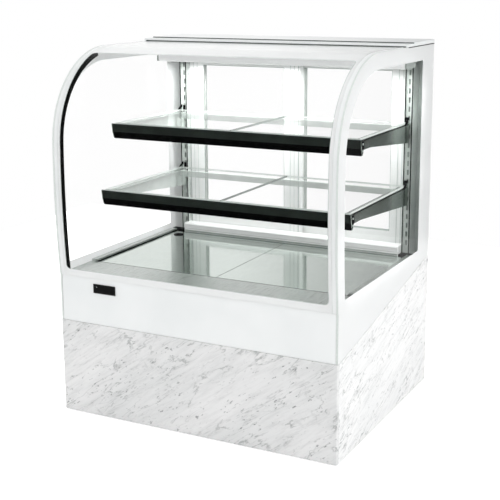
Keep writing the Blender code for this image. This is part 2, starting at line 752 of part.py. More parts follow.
def build_glass_skin():
    section = [(-glass_half, 0), (glass_half, 0), (glass_half, GLASS), (-glass_half, GLASS)]
    paint(along_glass("front_glass", section), "clear glass")
    line = glass_line()
    outline = [spot for spot, _ in line] + [
        (rear, glass_top), (rear, PLINTH_REAR + GAP), (slant_start, fascia_base),
        (fascia_front, fascia_base), (fascia_front, fascia_top),
    ]
    for name, side in sides():
        pane = prism(f"side_glass_{name}", outline, "X", *span(side, side_inner, side_outer))
        paint(pane, "clear glass")
        outer, inner = side * skin_half, side * (glass_half + GAP)
        third, g = (outer - inner) / 3, TRIM_GROOVE
        section = [(inner, 0)]
        for i in (1, 2):
            x = inner + i * third
            section += [(x - side * g, 0), (x, g), (x + side * g, 0)]
        section += [(outer, 0), (outer, GLASS + TRIM_LAP), (inner, GLASS + TRIM_LAP)]
        paint(along_glass(f"corner_trim_{name}", section), "white paint")
        outer, inner = side * glass_half, side * (glass_half - SEAL_WIDTH)
        low, high = GLASS + GAP, GLASS + GAP + SEAL_DEPTH
        seal = along_glass(f"corner_seal_{name}", [(inner, low), (outer, low), (outer, high), (inner, high)])
        foot = block("foot", (-half, front, glass_foot - SLIP), (half, rear, deck_top + GAP))
        paint(cut(seal, foot), "black rubber")


def build_top():
    paint(block("top_cover", (-half, lamp_front, cover_base), (half, rear, HEIGHT)), "white paint")
    tongue = block("tongue", (-skin_half, strip_front, glass_top - STRIP), (skin_half, strip_rear, cover_base + SLIP))
    strip = block("top_strip", (-half, strip_front, cover_base), (half, strip_rear, HEIGHT))
    paint(fuse(strip, tongue), "white paint")
    lamp_half = side_inner - LAMP_END_GAP
    base = glass_top - LAMP_HEIGHT
    housing = block("lamp_housing", (-lamp_half, lamp_front, base), (lamp_half, lamp_rear, glass_top))
    paint(housing, "white paint")
    lead = lamp_front - DIFFUSER_LEAD
    top, low = base - GAP, base - GAP - DIFFUSER
    outline = [(lead, top), (lead, low + DIFFUSER / 4), (lead + DIFFUSER / 4, low), (lamp_rear, low), (lamp_rear, top)]
    paint(prism("lamp_diffuser", outline, "X", -lamp_half, lamp_half), "opal plastic")


def build_shelf(level, slot, reach):
    top = slot_height(slot) + HOOK_DROP
    nose = post_front - reach
    seat = top - SHELF_LIP
    ledge = seat - GAP
    outline = [
        (0, 0), (RAIL_LIP, 0), (RAIL_LIP, ledge - top), (RAIL_LEDGE, ledge - top),
        (RAIL_DEPTH, -RAIL_FACE + SHELF_LIP), (RAIL_NOSE, -RAIL_HEIGHT), (SHELF_LIP, -RAIL_FACE),
    ]
    outline = [(nose + y, top + z) for y, z in outline]
    paint(prism(f"{level}_front_rail", outline, "X", -rail_half, rail_half), "black anodised")
    back = post_front + RECESS_DEPTH
    start, stop = nose + RAIL_DEPTH + GAP, back - GAP
    web_near, web_far = recess_centre - WEB / 2, recess_centre + WEB / 2
    flange_near = web_near - FLANGE_WIDTH
    outline = [
        (start, ledge), (stop, ledge), (stop, ledge - BRACKET_REAR),
        (start + BRACKET_STRAIGHT, ledge - BRACKET_FRONT), (start, ledge - BRACKET_FRONT),
    ]
    bar_rear = post_front - BAR_SETBACK
    for name, side in sides():
        bracket = prism(f"{level}_bracket_{name}", outline, "X", *span(side, web_near, web_far))
        low_x, high_x = span(side, flange_near, web_far - WEB / 2)
        flange = block("flange", (low_x, start, ledge - FLANGE), (high_x, post_front - GAP, ledge))
        low_x, high_x = span(side, web_near, web_far)
        hooks = []
        for i in (slot, slot - 1):
            low_z, high_z = slot_height(i) - HOOK_HEIGHT / 2, slot_height(i) + HOOK_HEIGHT / 2
            hooks.append(block("hook", (low_x, stop - SLIP, low_z), (high_x, stop + HOOK_LENGTH, high_z)))
        paint(fuse(bracket, flange, *hooks), "brushed steel")
        low_x, high_x = span(side, PANE_JOINT / 2, web_far)
        pane_low = (low_x, nose + RAIL_LIP + GAP, seat)
        pane_high = (high_x, post_front - SHELF_REAR_GAP, seat + SHELF_GLASS)
        paint(block(f"{level}_glass_{name}", pane_low, pane_high), "clear glass")
    bar_half = flange_near - GAP
    bar_low = (-bar_half, bar_rear - BAR, ledge - BAR_HEIGHT)
    paint(block(f"{level}_rear_bar", bar_low, (bar_half, bar_rear, ledge)), "brushed steel")


def build_door(name, side, door_rear):
    """A framed pane that covers one half of the back, and overlaps its neighbour by one stile."""
    low_x, high_x = span(side, -STILE / 2, track_half - DOOR_END_GAP)
    door_front = door_rear - DOOR
    floor = floor_level + TRACK
    base, top = floor + DOOR_LIFT, glass_top - TOP_TRACK_HEIGHT + DOOR_ENGAGE
    frame = block(f"door_{name}_frame", (low_x, door_front, base), (high_x, door_rear, top))
    low = Vector((low_x + STILE, door_front, base + DOOR_RAIL))
    high = Vector((high_x - STILE, door_rear, top - DOOR_RAIL))
    through = Vector((0, SLIP, 0))
    window = block("window", low - through, high + through)
    middle = (door_front + door_rear) / 2
    bite = Vector((PANE_BITE, 0, PANE_BITE))
    pane_low, pane_high = low - bite, high + bite
    pane_low.y, pane_high.y = middle - PANE / 2, middle + PANE / 2
    clear = Vector((GAP, GAP, GAP))
    groove = block("groove", pane_low - clear, pane_high + clear)
    edge_x = side * (track_half - DOOR_END_GAP - STILE / 2)
    pull_z = (base + top) / 2
    pull = Vector((PULL_WIDTH / 2, PULL_DEPTH, PULL_HEIGHT / 2))
    pull_at = Vector((edge_x, door_rear, pull_z))
    tools = [window, groove, block("pull", pull_at - pull, pull_at + pull)]
    axle_z = floor + GAP + ROLLER_RADIUS
    pins = []
    for label, x in (("a", low_x + ROLLER_INSET), ("b", high_x - ROLLER_INSET)):
        axle = Vector((x, middle, axle_z))
        wheel = rod(f"door_{name}_roller_{label}", axle, "Y", ROLLER_RADIUS, -ROLLER / 2, ROLLER / 2)
        hole = rod("hole", axle, "Y", ROLLER_PIN + GAP, -ROLLER, ROLLER, 12)
        paint(cut(wheel, hole), "white plastic")
        room = Vector((ROLLER_RADIUS + RUN, ROLLER / 2 + SLIP, ROLLER_RADIUS + RUN))
        tools.append(block("room", axle - room, axle + room))
        pins.append(rod("pin", axle, "Y", ROLLER_PIN, -ROLLER / 2 - RUN, ROLLER / 2 + RUN, 12))
    paint(fuse(cut(frame, *tools), *pins), "aluminium")
    paint(block(f"door_{name}_glass", pane_low, pane_high), "clear glass")


def smooth_round_pieces():
    for obj in bpy.data.objects:
        if obj.type == "MESH":
            obj.data.shade_smooth()
            obj.data.set_sharp_from_angle(angle=radians(35))


def main():
    clear_scene()
    build_feet()
    build_base_frame()
    build_plinth()
    build_rear_grille()
    build_fascia()
    build_tank()
    build_condenser()
    build_compressor()
    build_control_box()
    build_evaporator()
    build_suction_pipe()
    build_deck()
    build_tracks()
    build_posts()
    build_glass_skin()
    build_top()
    for level, spec in SHELVES.items():
        build_shelf(level, spec["slot"], spec["reach"])
    build_door("left", -1, inner_door_rear)
    build_door("right", 1, outer_door_rear)
    smooth_round_pieces()


main()
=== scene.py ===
import json
from math import asin, cos, pi, radians, sin

import bpy
from mathutils import Matrix, Vector

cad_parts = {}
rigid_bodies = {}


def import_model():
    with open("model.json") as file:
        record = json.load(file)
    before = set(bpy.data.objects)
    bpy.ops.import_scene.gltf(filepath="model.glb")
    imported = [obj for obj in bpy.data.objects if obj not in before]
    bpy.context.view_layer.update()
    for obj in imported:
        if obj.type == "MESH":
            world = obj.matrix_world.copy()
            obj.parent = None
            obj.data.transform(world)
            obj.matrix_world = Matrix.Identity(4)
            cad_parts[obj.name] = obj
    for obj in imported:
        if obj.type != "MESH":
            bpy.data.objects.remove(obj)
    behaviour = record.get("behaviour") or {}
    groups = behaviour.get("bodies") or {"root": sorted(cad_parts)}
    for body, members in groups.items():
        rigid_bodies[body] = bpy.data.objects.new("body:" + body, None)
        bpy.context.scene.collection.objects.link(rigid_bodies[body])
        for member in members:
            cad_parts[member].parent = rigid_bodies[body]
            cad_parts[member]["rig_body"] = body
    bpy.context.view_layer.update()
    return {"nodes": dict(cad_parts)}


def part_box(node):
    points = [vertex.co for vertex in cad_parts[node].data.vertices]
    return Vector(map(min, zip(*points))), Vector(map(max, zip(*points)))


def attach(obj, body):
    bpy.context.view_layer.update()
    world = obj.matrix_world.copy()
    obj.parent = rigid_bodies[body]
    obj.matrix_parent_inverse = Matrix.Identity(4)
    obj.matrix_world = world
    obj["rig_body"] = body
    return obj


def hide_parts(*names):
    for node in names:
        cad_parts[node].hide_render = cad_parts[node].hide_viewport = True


# Chilled cake showcase with a curved front glass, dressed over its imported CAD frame.
# Sizes are in metres, and the front faces -Y.
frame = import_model()
nodes = frame["nodes"]
scene = bpy.context.scene
bpy.ops.object.select_all(action="DESELECT")
print("frame loaded:", len(nodes), "nodes")


# The camera stands where the photograph was taken from.
viewpoint = {
    "yaw": 27.55, "pitch": 12.37, "roll": -0.35, "lens": 78.07, "sensor": 36.0, "shiftY": -0.07,
    "target": (0.0, -0.0285, 0.6), "distance": 3.278, "aside": 0.0158, "above": -0.0144,
}


def placeCamera():
    yaw, pitch, roll = (radians(viewpoint[key]) for key in ("yaw", "pitch", "roll"))
    forward = Vector((-sin(yaw) * cos(pitch), cos(yaw) * cos(pitch), -sin(pitch)))
    level = Vector((cos(yaw), sin(yaw), 0))
    upright = level.cross(forward)
    right = level * cos(roll) + upright * sin(roll)
    up = upright * cos(roll) - level * sin(roll)
    spot = Vector(viewpoint["target"]) - forward * viewpoint["distance"]
    spot += right * viewpoint["aside"] + up * viewpoint["above"]
    turn = Matrix((right, up, -forward)).transposed().to_4x4()
    bpy.ops.object.camera_add()
    camera = bpy.context.object
    camera.name = "photoCamera"
    camera.matrix_world = Matrix.Translation(spot) @ turn
    camera.data.sensor_width = viewpoint["sensor"]
    camera.data.lens = viewpoint["lens"]
    camera.data.shift_y = viewpoint["shiftY"]
    scene.camera = camera


placeCamera()
print("camera placed")


# Materials, each from what the real one is and how its surface was made.
# A pattern's scale is 1000 over its real size in millimetres.
def hexColour(code):
    channels = [int(code[i:i + 2], 16) / 255 for i in (1, 3, 5)]
    linear = [c / 12.92 if c <= 0.04045 else ((c + 0.055) / 1.055) ** 2.4 for c in channels]
    return (*linear, 1.0)


def addNode(owner, kind, inputs=None, stops=None, **settings):
    node = owner.node_tree.nodes.new("ShaderNode" + kind)
    for key, value in settings.items():
        setattr(node, key, value)
    for i, (place, colour) in enumerate(stops or []):
        spots = node.color_ramp.elements
        spot = spots[i] if i < 2 else spots.new(place)
        spot.position, spot.color = place, hexColour(colour)
    for key, value in (inputs or {}).items():
        if isinstance(value, bpy.types.NodeSocket):
            owner.node_tree.links.new(value, node.inputs[key])
        else:
            node.inputs[key].default_value = value
    return node


def startMaterial(name, **sockets):
    material = bpy.data.materials.new(name)
    material.use_nodes = True
    shader = material.node_tree.nodes["Principled BSDF"]
    for key, value in sockets.items():
        shader.inputs[key.replace("_", " ")].default_value = value
    return material, shader, addNode(material, "TexCoord").outputs["Object"]


def joinTo(material, output, node, key):
    material.node_tree.links.new(output, node.inputs[key])


def polishedMarble(name, lean, dark, light):
    # White marble, sawn and polished: a pale even ground with thin slanting streaks,
    # broken veins and dark flecks.
    material, shader, place = startMaterial(name, Roughness=0.22, IOR=1.49)
    lean = Vector(lean).normalized()  # the way the beds of the stone run in this slab
    along = addNode(material, "VectorMath", {0: place, 1: lean}, operation="DOT_PRODUCT").outputs["Value"]
    beds = []
    for share in (0.86, 0.60):  # drawn out about 7 to 1 for the streaks, 2.5 to 1 for veins and flecks
        pull = addNode(material, "VectorMath", {0: lean * share, "Scale": along}, operation="SCALE")
        drawn = addNode(material, "VectorMath", {0: place, 1: pull.outputs[0]}, operation="SUBTRACT")
        beds.append(drawn.outputs[0])
    longBed, shortBed = beds
    cloud = addNode(material, "TexNoise", {"Vector": shortBed, "Scale": 1000 / 110, "Detail": 3})
    ground = addNode(material, "ValToRGB", {"Fac": cloud.outputs[0]}, [(0.32, dark), (0.66, light)])
    streak = addNode(material, "TexNoise", {
        "Vector": longBed, "Scale": 1000 / 13, "Detail": 6, "Roughness": 0.70})
    streakTone = addNode(material, "ValToRGB", {"Fac": streak.outputs[0]},
                         [(0.26, "#DFE0E0"), (0.56, "#FFFFFF"), (0.42, "#F7F7F7")])
    vein = addNode(material, "TexNoise", {
        "Vector": shortBed, "Scale": 1000 / 105, "Detail": 7, "Roughness": 0.60, "Distortion": 0.35})
    veinTone = addNode(material, "ValToRGB", {"Fac": vein.outputs[0]},
                       [(0.485, "#FFFFFF"), (0.515, "#FFFFFF"), (0.500, "#BEC0C0")])
    thread = addNode(material, "TexNoise", {
        "Vector": longBed, "Scale": 1000 / 42, "Detail": 4, "Roughness": 0.58})
    threadTone = addNode(material, "ValToRGB", {"Fac": thread.outputs[0]},
                         [(0.490, "#FFFFFF"), (0.510, "#FFFFFF"), (0.500, "#C9CBCB")])
    broken = addNode(material, "TexNoise", {"Vector": place, "Scale": 1000 / 60, "Detail": 2})
    shown = addNode(material, "MapRange", {0: broken.outputs[0], 1: 0.48, 2: 0.62})
    fleck = addNode(material, "TexNoise", {
        "Vector": shortBed, "Scale": 1000 / 7.0, "Detail": 3, "Roughness": 0.65})
    fleckTone = addNode(material, "ValToRGB", {"Fac": fleck.outputs[0]},
                        [(0.295, "#8A8D8E"), (0.378, "#FFFFFF")])
    flock = addNode(material, "TexNoise", {"Vector": shortBed, "Scale": 1000 / 70, "Detail": 3})
    spread = addNode(material, "MapRange", {0: flock.outputs[0], 1: 0.40, 2: 0.60, 3: 0.25, 4: 1.0})
    tone = ground.outputs[0]
    for layer, share in ((streakTone, 1.0), (veinTone, shown.outputs[0]), (threadTone, spread.outputs[0]),
                         (fleckTone, spread.outputs[0])):
        tone = addNode(material, "Mix", {0: share, 6: tone, 7: layer.outputs[0]},
                       data_type="RGBA", blend_type="MULTIPLY").outputs[2]
    joinTo(material, tone, shader, "Base Color")
    return material


def whitePowderCoat():
    # Powder coat on steel sheet: an even cool white with a faint orange peel about 1.5 mm across.
    material, shader, place = startMaterial("whitePowderCoat", IOR=1.5, Coat_Weight=0.25, Coat_Roughness=0.12)
    drift = addNode(material, "TexNoise", {"Vector": place, "Scale": 1000 / 160, "Detail": 2})
    tone = addNode(material, "ValToRGB", {"Fac": drift.outputs[0]}, [(0.3, "#ECEFEF"), (0.7, "#F3F5F5")])
    peel = addNode(material, "TexNoise", {"Vector": place, "Scale": 1000 / 1.5, "Detail": 1})
    rough = addNode(material, "MapRange", {0: peel.outputs[0], 3: 0.28, 4: 0.36})
    bump = addNode(material, "Bump", {"Height": peel.outputs[0], "Strength": 0.04, "Distance": 0.0002})
    joinTo(material, tone.outputs[0], shader, "Base Color")
    joinTo(material, rough.outputs[0], shader, "Roughness")
    joinTo(material, bump.outputs[0], shader, "Normal")
    return material


def printedEnamel():
    # Ceramic ink fired on to the glass: flat glossy white, thin enough to glow a little,
    # with a screen grain of 0.8 mm.
    material, shader, place = startMaterial("printedEnamel", IOR=1.52, Subsurface_Weight=0.3,
                                            Subsurface_Radius=(1.0, 1.0, 1.0), Subsurface_Scale=0.003)
    grain = addNode(material, "TexNoise", {"Vector": place, "Scale": 1000 / 0.8, "Detail": 2})
    tone = addNode(material, "ValToRGB", {"Fac": grain.outputs[0]}, [(0.3, "#EEF0F0"), (0.7, "#F4F6F6")])
    rough = addNode(material, "MapRange", {0: grain.outputs[0], 3: 0.10, 4: 0.18})
    joinTo(material, tone.outputs[0], shader, "Base Color")
    joinTo(material, rough.outputs[0], shader, "Roughness")
    return material


def floatGlass():
    # Clear float glass as a thin pane: almost all light goes through, more is mirrored at a slant,
    # and faint wiping marks cloud what it mirrors.
    material, shader, place = startMaterial("floatGlass", Metallic=1.0, Base_Color=hexColour("#FFFFFF"))
    wipe = addNode(material, "TexNoise", {"Vector": place, "Scale": 1000 / 140, "Detail": 3})
    rough = addNode(material, "MapRange", {0: wipe.outputs[0], 3: 0.0, 4: 0.03})
    joinTo(material, rough.outputs[0], shader, "Roughness")
    clear = addNode(material, "BsdfTransparent", {"Color": hexColour("#FFFFFF")})
    slant = addNode(material, "Fresnel", {"IOR": 1.12})  # a low-reflection coat
    inside = addNode(material, "NewGeometry").outputs["Backfacing"]  # a pane mirrors on its outer faces alone
    outside = addNode(material, "Math", {0: 1.0, 1: inside}, operation="SUBTRACT")
    mirrored = addNode(material, "Math", {0: slant.outputs[0], 1: outside.outputs[0]}, operation="MULTIPLY")
    pane = addNode(material, "MixShader", {0: mirrored.outputs[0], 1: clear.outputs[0], 2: shader.outputs[0]})
    joinTo(material, pane.outputs[0], material.node_tree.nodes["Material Output"], "Surface")
    return material


def groundEdge():
    # The ground edge of a pane: light that runs inside the glass leaves here, pale and soft.
    material, shader, place = startMaterial("groundGlassEdge", IOR=1.5, Roughness=0.35)
    grind = addNode(material, "TexNoise", {"Vector": place, "Scale": 1000 / 2.5, "Detail": 3})
    tone = addNode(material, "ValToRGB", {"Fac": grind.outputs[0]}, [(0.3, "#D3DAD6"), (0.7, "#E6EBE8")])
    joinTo(material, tone.outputs[0], shader, "Base Color")
    return material


def brushedMetal(name, dark, light, lowRough, highRough, stretch):
    # Sheet rubbed with a belt: fine hairlines about 0.7 mm apart, drawn coarser than real so that they show.
    material, shader, place = startMaterial(name, Metallic=1.0)
    drawn = addNode(material, "Mapping", {"Vector": place, "Scale": stretch})
    hair = addNode(material, "TexNoise", {"Vector": drawn.outputs[0], "Scale": 1000 / 0.7, "Detail": 2})
    blotch = addNode(material, "TexNoise", {"Vector": place, "Scale": 1000 / 60, "Detail": 3})
    shade = addNode(material, "Mix", {0: 0.15, 2: hair.outputs[0], 3: blotch.outputs[0]})
    tone = addNode(material, "ValToRGB", {"Fac": shade.outputs[0]}, [(0.3, dark), (0.7, light)])
    rough = addNode(material, "MapRange", {0: hair.outputs[0], 1: 0.3, 2: 0.7, 3: lowRough, 4: highRough})
    bump = addNode(material, "Bump", {"Height": hair.outputs[0], "Strength": 0.05, "Distance": 0.0002})
    joinTo(material, tone.outputs[0], shader, "Base Color")
    joinTo(material, rough.outputs[0], shader, "Roughness")
    joinTo(material, bump.outputs[0], shader, "Normal")
    return material


def moulded(name, dark, light, lowRough, highRough, grit, ior=1.5, **sockets):
    # Moulded or sprayed surface: one colour with slight drift, and a fine grain in the gloss.
    material, shader, place = startMaterial(name, IOR=ior, **sockets)
    drift = addNode(material, "TexNoise", {"Vector": place, "Scale": 1000 / 45, "Detail": 3})
    tone = addNode(material, "ValToRGB", {"Fac": drift.outputs[0]}, [(0.3, dark), (0.7, light)])
    grain = addNode(material, "TexNoise", {"Vector": place, "Scale": 1000 / grit, "Detail": 2})
    rough = addNode(material, "MapRange", {0: grain.outputs[0], 1: 0.3, 2: 0.7, 3: lowRough, 4: highRough})
    bump = addNode(material, "Bump", {"Height": grain.outputs[0], "Strength": 0.06, "Distance": 0.0002})
    joinTo(material, tone.outputs[0], shader, "Base Color")
    joinTo(material, rough.outputs[0], shader, "Roughness")
    joinTo(material, bump.outputs[0], shader, "Normal")
    return material


# After its two tones and two roughnesses, a metal gives the scaling of its hairlines
# and a moulding its grit in millimetres.
finish = {
    "marbleFront": polishedMarble("polishedMarbleFront", (0.82, 0.0, 0.57), "#E0E1E1", "#EAEAEA"),
    "marbleSide": polishedMarble("polishedMarbleSide", (0.0, 0.95, 0.30), "#EAEBEB", "#F4F4F4"),
    "paint": whitePowderCoat(),
    "enamel": printedEnamel(),
    "glass": floatGlass(),
    "glassEdge": groundEdge(),
    "brushed": brushedMetal("brushedStainless", "#B7BDB9", "#DADFDC", 0.24, 0.38, (1.0, 0.012, 1.0)),
    "bracket": brushedMetal("polishedBracketSteel", "#9DA9A1", "#BDC8C1", 0.16, 0.26, (1.0, 0.02, 1.0)),
    "mirror": brushedMetal("mirrorStainless", "#C4CEC8", "#D7E0DA", 0.05, 0.12, (1.0, 0.02, 1.0)),
    "post": moulded("silverFlakePaint", "#CDD4D0", "#DBE1DD", 0.28, 0.40, 0.8, Metallic=0.2),
    # a painted highlight, laid on the up-facing top of the shelf rails
    "wornEdge": moulded("anodisedTopHighlight", "#A6AFAA", "#B9C1BD", 0.26, 0.38, 0.8, Metallic=0.5),
    "aluminium": moulded("whiteCoatedAluminium", "#F1F3F2", "#F5F7F6", 0.30, 0.40, 1.2),
    "fins": brushedMetal("rolledFinAluminium", "#C6C9C9", "#DFE2E2", 0.30, 0.45, (1.0, 1.0, 0.05)),
    "copper": brushedMetal("drawnCopper", "#B5714F", "#D08D68", 0.22, 0.36, (0.05, 0.05, 0.05)),
    "anodised": moulded("blackAnodised", "#141B17", "#1C2520", 0.42, 0.54, 0.6, Specular_IOR_Level=0.15),
    # near-black: the real colour of the rail caps and bracket clips, and painted shade on the rails'
    # down-turned faces
    "railFoot": moulded("mattBlackAnodisedAndUnderShade", "#020303", "#060707", 0.60, 0.75, 0.6, Specular_IOR_Level=0.03),
    # grey: the real colour of beads, seals and end caps, and painted shade in the slots of the rear posts
    "greyGasket": moulded("greyGlazingBeadAndSlotShade", "#A4ACA8", "#B6BDB9", 0.45, 0.60, 0.9),
    "palePile": moulded("paleWoolPile", "#CBD1CE", "#DDE2DF", 0.70, 0.90, 0.5),
    # dark strips in the joints along the top, painted as the shade of those joints
    "darkJointShade": moulded("darkGreyJointShade", "#39423D", "#48524C", 0.50, 0.65, 0.9, Specular_IOR_Level=0.2),
    "jointEdge": moulded("shadedGlassEdge", "#59655F", "#6B7771", 0.30, 0.40, 1.5),
    "slotFloor": moulded("satinPaintedSteel", "#D3DAD6", "#E0E6E2", 0.40, 0.55, 0.9),
    "satin": moulded("satinBlastedSteel", "#C6CFCA", "#D7DFDA", 0.42, 0.56, 0.8, Metallic=0.3),
    # a painted dark reflection on the front lips of the rear posts, which are the post's own steel
    "lip": brushedMetal("lipPaintedDarkReflection", "#343D38", "#47514B", 0.14, 0.24, (1.0, 1.0, 0.02)),
    # painted shade along the inner edge of the front glass's print
    "printEdgeShade": moulded("printEdgeShadeEnamel", "#B0B8B4", "#BEC5C1", 0.15, 0.22, 0.8),
    "smoked": moulded("smokedAcrylic", "#020303", "#050606", 0.06, 0.12, 1.0, ior=1.49,
                      Specular_IOR_Level=0.1),
    "rubber": moulded("mouldedEpdm", "#050606", "#0B0D0C", 0.55, 0.70, 0.9, Specular_IOR_Level=0.15),
    "blackAbs": moulded("glossBlackAbs", "#060707", "#0B0C0C", 0.10, 0.20, 0.7, Specular_IOR_Level=0.15),
    "whiteAbs": moulded("whiteAbs", "#EAEBE9", "#EFF0EE", 0.32, 0.46, 0.8),
    "opal": moulded("opalAcrylic", "#EEF0F0", "#F7F8F8", 0.28, 0.38, 1.0, ior=1.49,
                    Emission_Color=hexColour("#FFFFFF"), Emission_Strength=0.16),
    "enamelBlack": moulded("blackEnamel", "#0E0F10", "#18191A", 0.38, 0.52, 0.9),
    "indicator": moulded("whiteIndicatorLens", "#E8ECEC", "#F8FAFA", 0.15, 0.25, 0.5),
}
print("materials made:", len(finish))


# Modelling steps that several pieces share.
sides = (("left", -1), ("right", 1))  # seen from the front, with their way along X
levels = ("lower", "upper")  # the two shelves
facing = 0.9  # a normal with this much of an axis faces along it
weld = 1e-5  # points closer than this become one


def pickOnly(piece):
    bpy.ops.object.select_all(action="DESELECT")
    piece.select_set(True)
    bpy.context.view_layer.objects.active = piece


def finishWith(piece, kind, **settings):
    pickOnly(piece)
    step = piece.modifiers.new(kind, kind)
    for key, value in settings.items():
        setattr(step, key, value)
    bpy.ops.object.modifier_apply(modifier=step.name)


def softenEdges(piece, width, segments=2, angle=35):
    finishWith(piece, "BEVEL", width=width, segments=segments,
               limit_method="ANGLE", angle_limit=radians(angle))


def smoothFaces(piece, angle=40):  # round edges read smooth, and the large faces beside them stay flat
    pickOnly(piece)
    bpy.ops.object.shade_smooth_by_angle(angle=radians(angle))
    finishWith(piece, "WEIGHTED_NORMAL", weight=80, keep_sharp=True)


def cutAway(piece, cutter, operation="DIFFERENCE"):  # takes the cutter's shape away, or all but it
    finishWith(piece, "BOOLEAN", operation=operation, solver="EXACT", object=cutter)
    bpy.data.objects.remove(cutter, do_unlink=True)


def drawOutline(name, points):  # one vertex, pulled from corner to corner and closed
    bpy.ops.object.select_all(action="DESELECT")
    bpy.ops.mesh.primitive_plane_add(size=0.01, location=points[0])  # merged to that vertex below
    piece = bpy.context.object
    piece.name = name
    bpy.ops.object.transform_apply(location=True, rotation=True, scale=True)
    bpy.ops.object.mode_set(mode="EDIT")
    bpy.ops.mesh.select_all(action="SELECT")
    bpy.ops.mesh.merge(type="CENTER")
    for here, there in zip(points, points[1:] + points[:1]):
        step = Vector(there) - Vector(here)
        bpy.ops.mesh.extrude_vertices_move(TRANSFORM_OT_translate={"value": step})
    bpy.ops.mesh.select_all(action="SELECT")
    bpy.ops.mesh.remove_doubles(threshold=weld)
    return piece


def closeUp(piece):
    bpy.ops.mesh.select_all(action="SELECT")
    bpy.ops.mesh.normals_make_consistent(inside=False)
    bpy.ops.object.mode_set(mode="OBJECT")
    return piece


def pushOut(name, points, travel):  # a drawn outline, filled and extruded
    piece = drawOutline(name, points)
    bpy.ops.mesh.edge_face_add()
    bpy.ops.mesh.extrude_region_move(TRANSFORM_OT_translate={"value": travel})
    return closeUp(piece)


def settle(piece, looks, body, slot, *replaced):
    piece.data.materials.clear()
    for look in looks.split():
        piece.data.materials.append(finish[look])
    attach(piece, body)
    if replaced:
        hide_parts(*replaced)
    return piece


def edgeLooks(piece, *tests):  # each later material goes on the faces that its test picks
    for face in piece.data.polygons:
        face.material_index = next((i for i, isWanted in enumerate(tests, 1) if isWanted(face)), 0)


def pickFaces(piece, isWanted):  # leaves the piece in edit mode with these faces selected
    pickOnly(piece)
    bpy.ops.object.mode_set(mode="EDIT")
    bpy.ops.mesh.select_mode(type="FACE")
    bpy.ops.mesh.select_all(action="DESELECT")
    bpy.ops.object.mode_set(mode="OBJECT")
    for face in piece.data.polygons:
        face.select = isWanted(face)
    bpy.ops.object.mode_set(mode="EDIT")


def leaveEdit():
    bpy.ops.mesh.select_mode(type="VERT")
    bpy.ops.object.mode_set(mode="OBJECT")


def addBlock(name, low, high, edge, segments=2):  # a block with rounded edges
    low, high = Vector(low), Vector(high)
    bpy.ops.object.select_all(action="DESELECT")
    bpy.ops.mesh.primitive_cube_add(size=1, location=(low + high) / 2, scale=high - low)
    piece = bpy.context.object
    piece.name = name
    bpy.ops.object.transform_apply(location=True, rotation=True, scale=True)
    softenEdges(piece, edge, segments)
    smoothFaces(piece)
    return piece


stud = {"corners": 24, "rim": 0.4, "edge": 0.12}  # the rim is a share of the radius, the edge of the depth


def addStud(name, centre, axis, radius, depth, dish):  # a round head with a socket sunk into its outer face
    axis = Vector(axis)
    turn = axis.to_track_quat("Z", "Y").to_euler()
    bpy.ops.object.select_all(action="DESELECT")
    bpy.ops.mesh.primitive_cylinder_add(
        vertices=stud["corners"], radius=radius, depth=depth, location=centre, rotation=turn)
    piece = bpy.context.object
    piece.name = name
    bpy.ops.object.transform_apply(location=True, rotation=True, scale=True)
    pickFaces(piece, lambda face: face.normal.dot(axis) > facing)
    bpy.ops.mesh.inset(thickness=radius * stud["rim"])
    bpy.ops.mesh.extrude_region_move(TRANSFORM_OT_translate={"value": axis * -dish})
    leaveEdit()
    softenEdges(piece, depth * stud["edge"])
    smoothFaces(piece)
    return piece


def copyNode(node, name):  # a merged copy of a CAD node
    piece = bpy.data.objects.new(name, nodes[node].data.copy())
    scene.collection.objects.link(piece)
    pickOnly(piece)
    if piece.data.has_custom_normals:
        bpy.ops.mesh.customdata_custom_splitnormals_clear()
    bpy.ops.object.mode_set(mode="EDIT")
    bpy.ops.mesh.select_all(action="SELECT")
    bpy.ops.mesh.remove_doubles(threshold=weld)
    bpy.ops.mesh.dissolve_limited(angle_limit=radians(1))  # the triangles of a flat face become one
    bpy.ops.object.mode_set(mode="OBJECT")
    return piece


def refine(node, name, looks, slot, edge):  # the CAD shape with its edges broken
    piece = copyNode(node, name)
    if edge:
        softenEdges(piece, edge)
    smoothFaces(piece)
    return settle(piece, looks, nodes[node]["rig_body"], slot, node)


# The curved glass skin: a gentle belly, then a tight corner, then flat to the rear.
curve = {"cornerRadius": 0.275, "bellyRadius": 3.2, "bellyRise": 0.273, "bellySteps": 14, "cornerSteps": 44}
glassLow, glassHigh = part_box("front_glass")
fasciaLow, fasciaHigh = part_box("front_fascia")
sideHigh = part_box("side_glass_right")[1]
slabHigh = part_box("plinth_right_slab")[1]
deckLow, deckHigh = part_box("deck_left")
belly = Vector((0, glassLow.y + curve["bellyRadius"], fasciaHigh.z + curve["bellyRise"]))
swing = curve["bellyRadius"] - curve["cornerRadius"]
turnAngle = asin((glassHigh.z - curve["cornerRadius"] - belly.z) / swing)
corner = Vector((0, belly.y - swing * cos(turnAngle), glassHigh.z - curve["cornerRadius"]))


def footAngle(z, inset):
    return -asin((belly.z - z) / (curve["bellyRadius"] - inset))


def glassPoint(angle, inset):  # y and z of the outer glass face, moved inwards
    if angle < turnAngle:
        reach = curve["bellyRadius"] - inset
        return belly.y - reach * cos(angle), belly.z + reach * sin(angle)
    reach = curve["cornerRadius"] - inset
    return corner.y - reach * cos(angle), corner.z + reach * sin(angle)


def glassLine(start, inset):
    lower, upper = curve["bellySteps"], curve["cornerSteps"]
    angles = [start + (turnAngle - start) * i / lower for i in range(lower)]
    angles += [turnAngle + (pi / 2 - turnAngle) * i / upper for i in range(upper + 1)]
    return [glassPoint(angle, inset) for angle in angles]


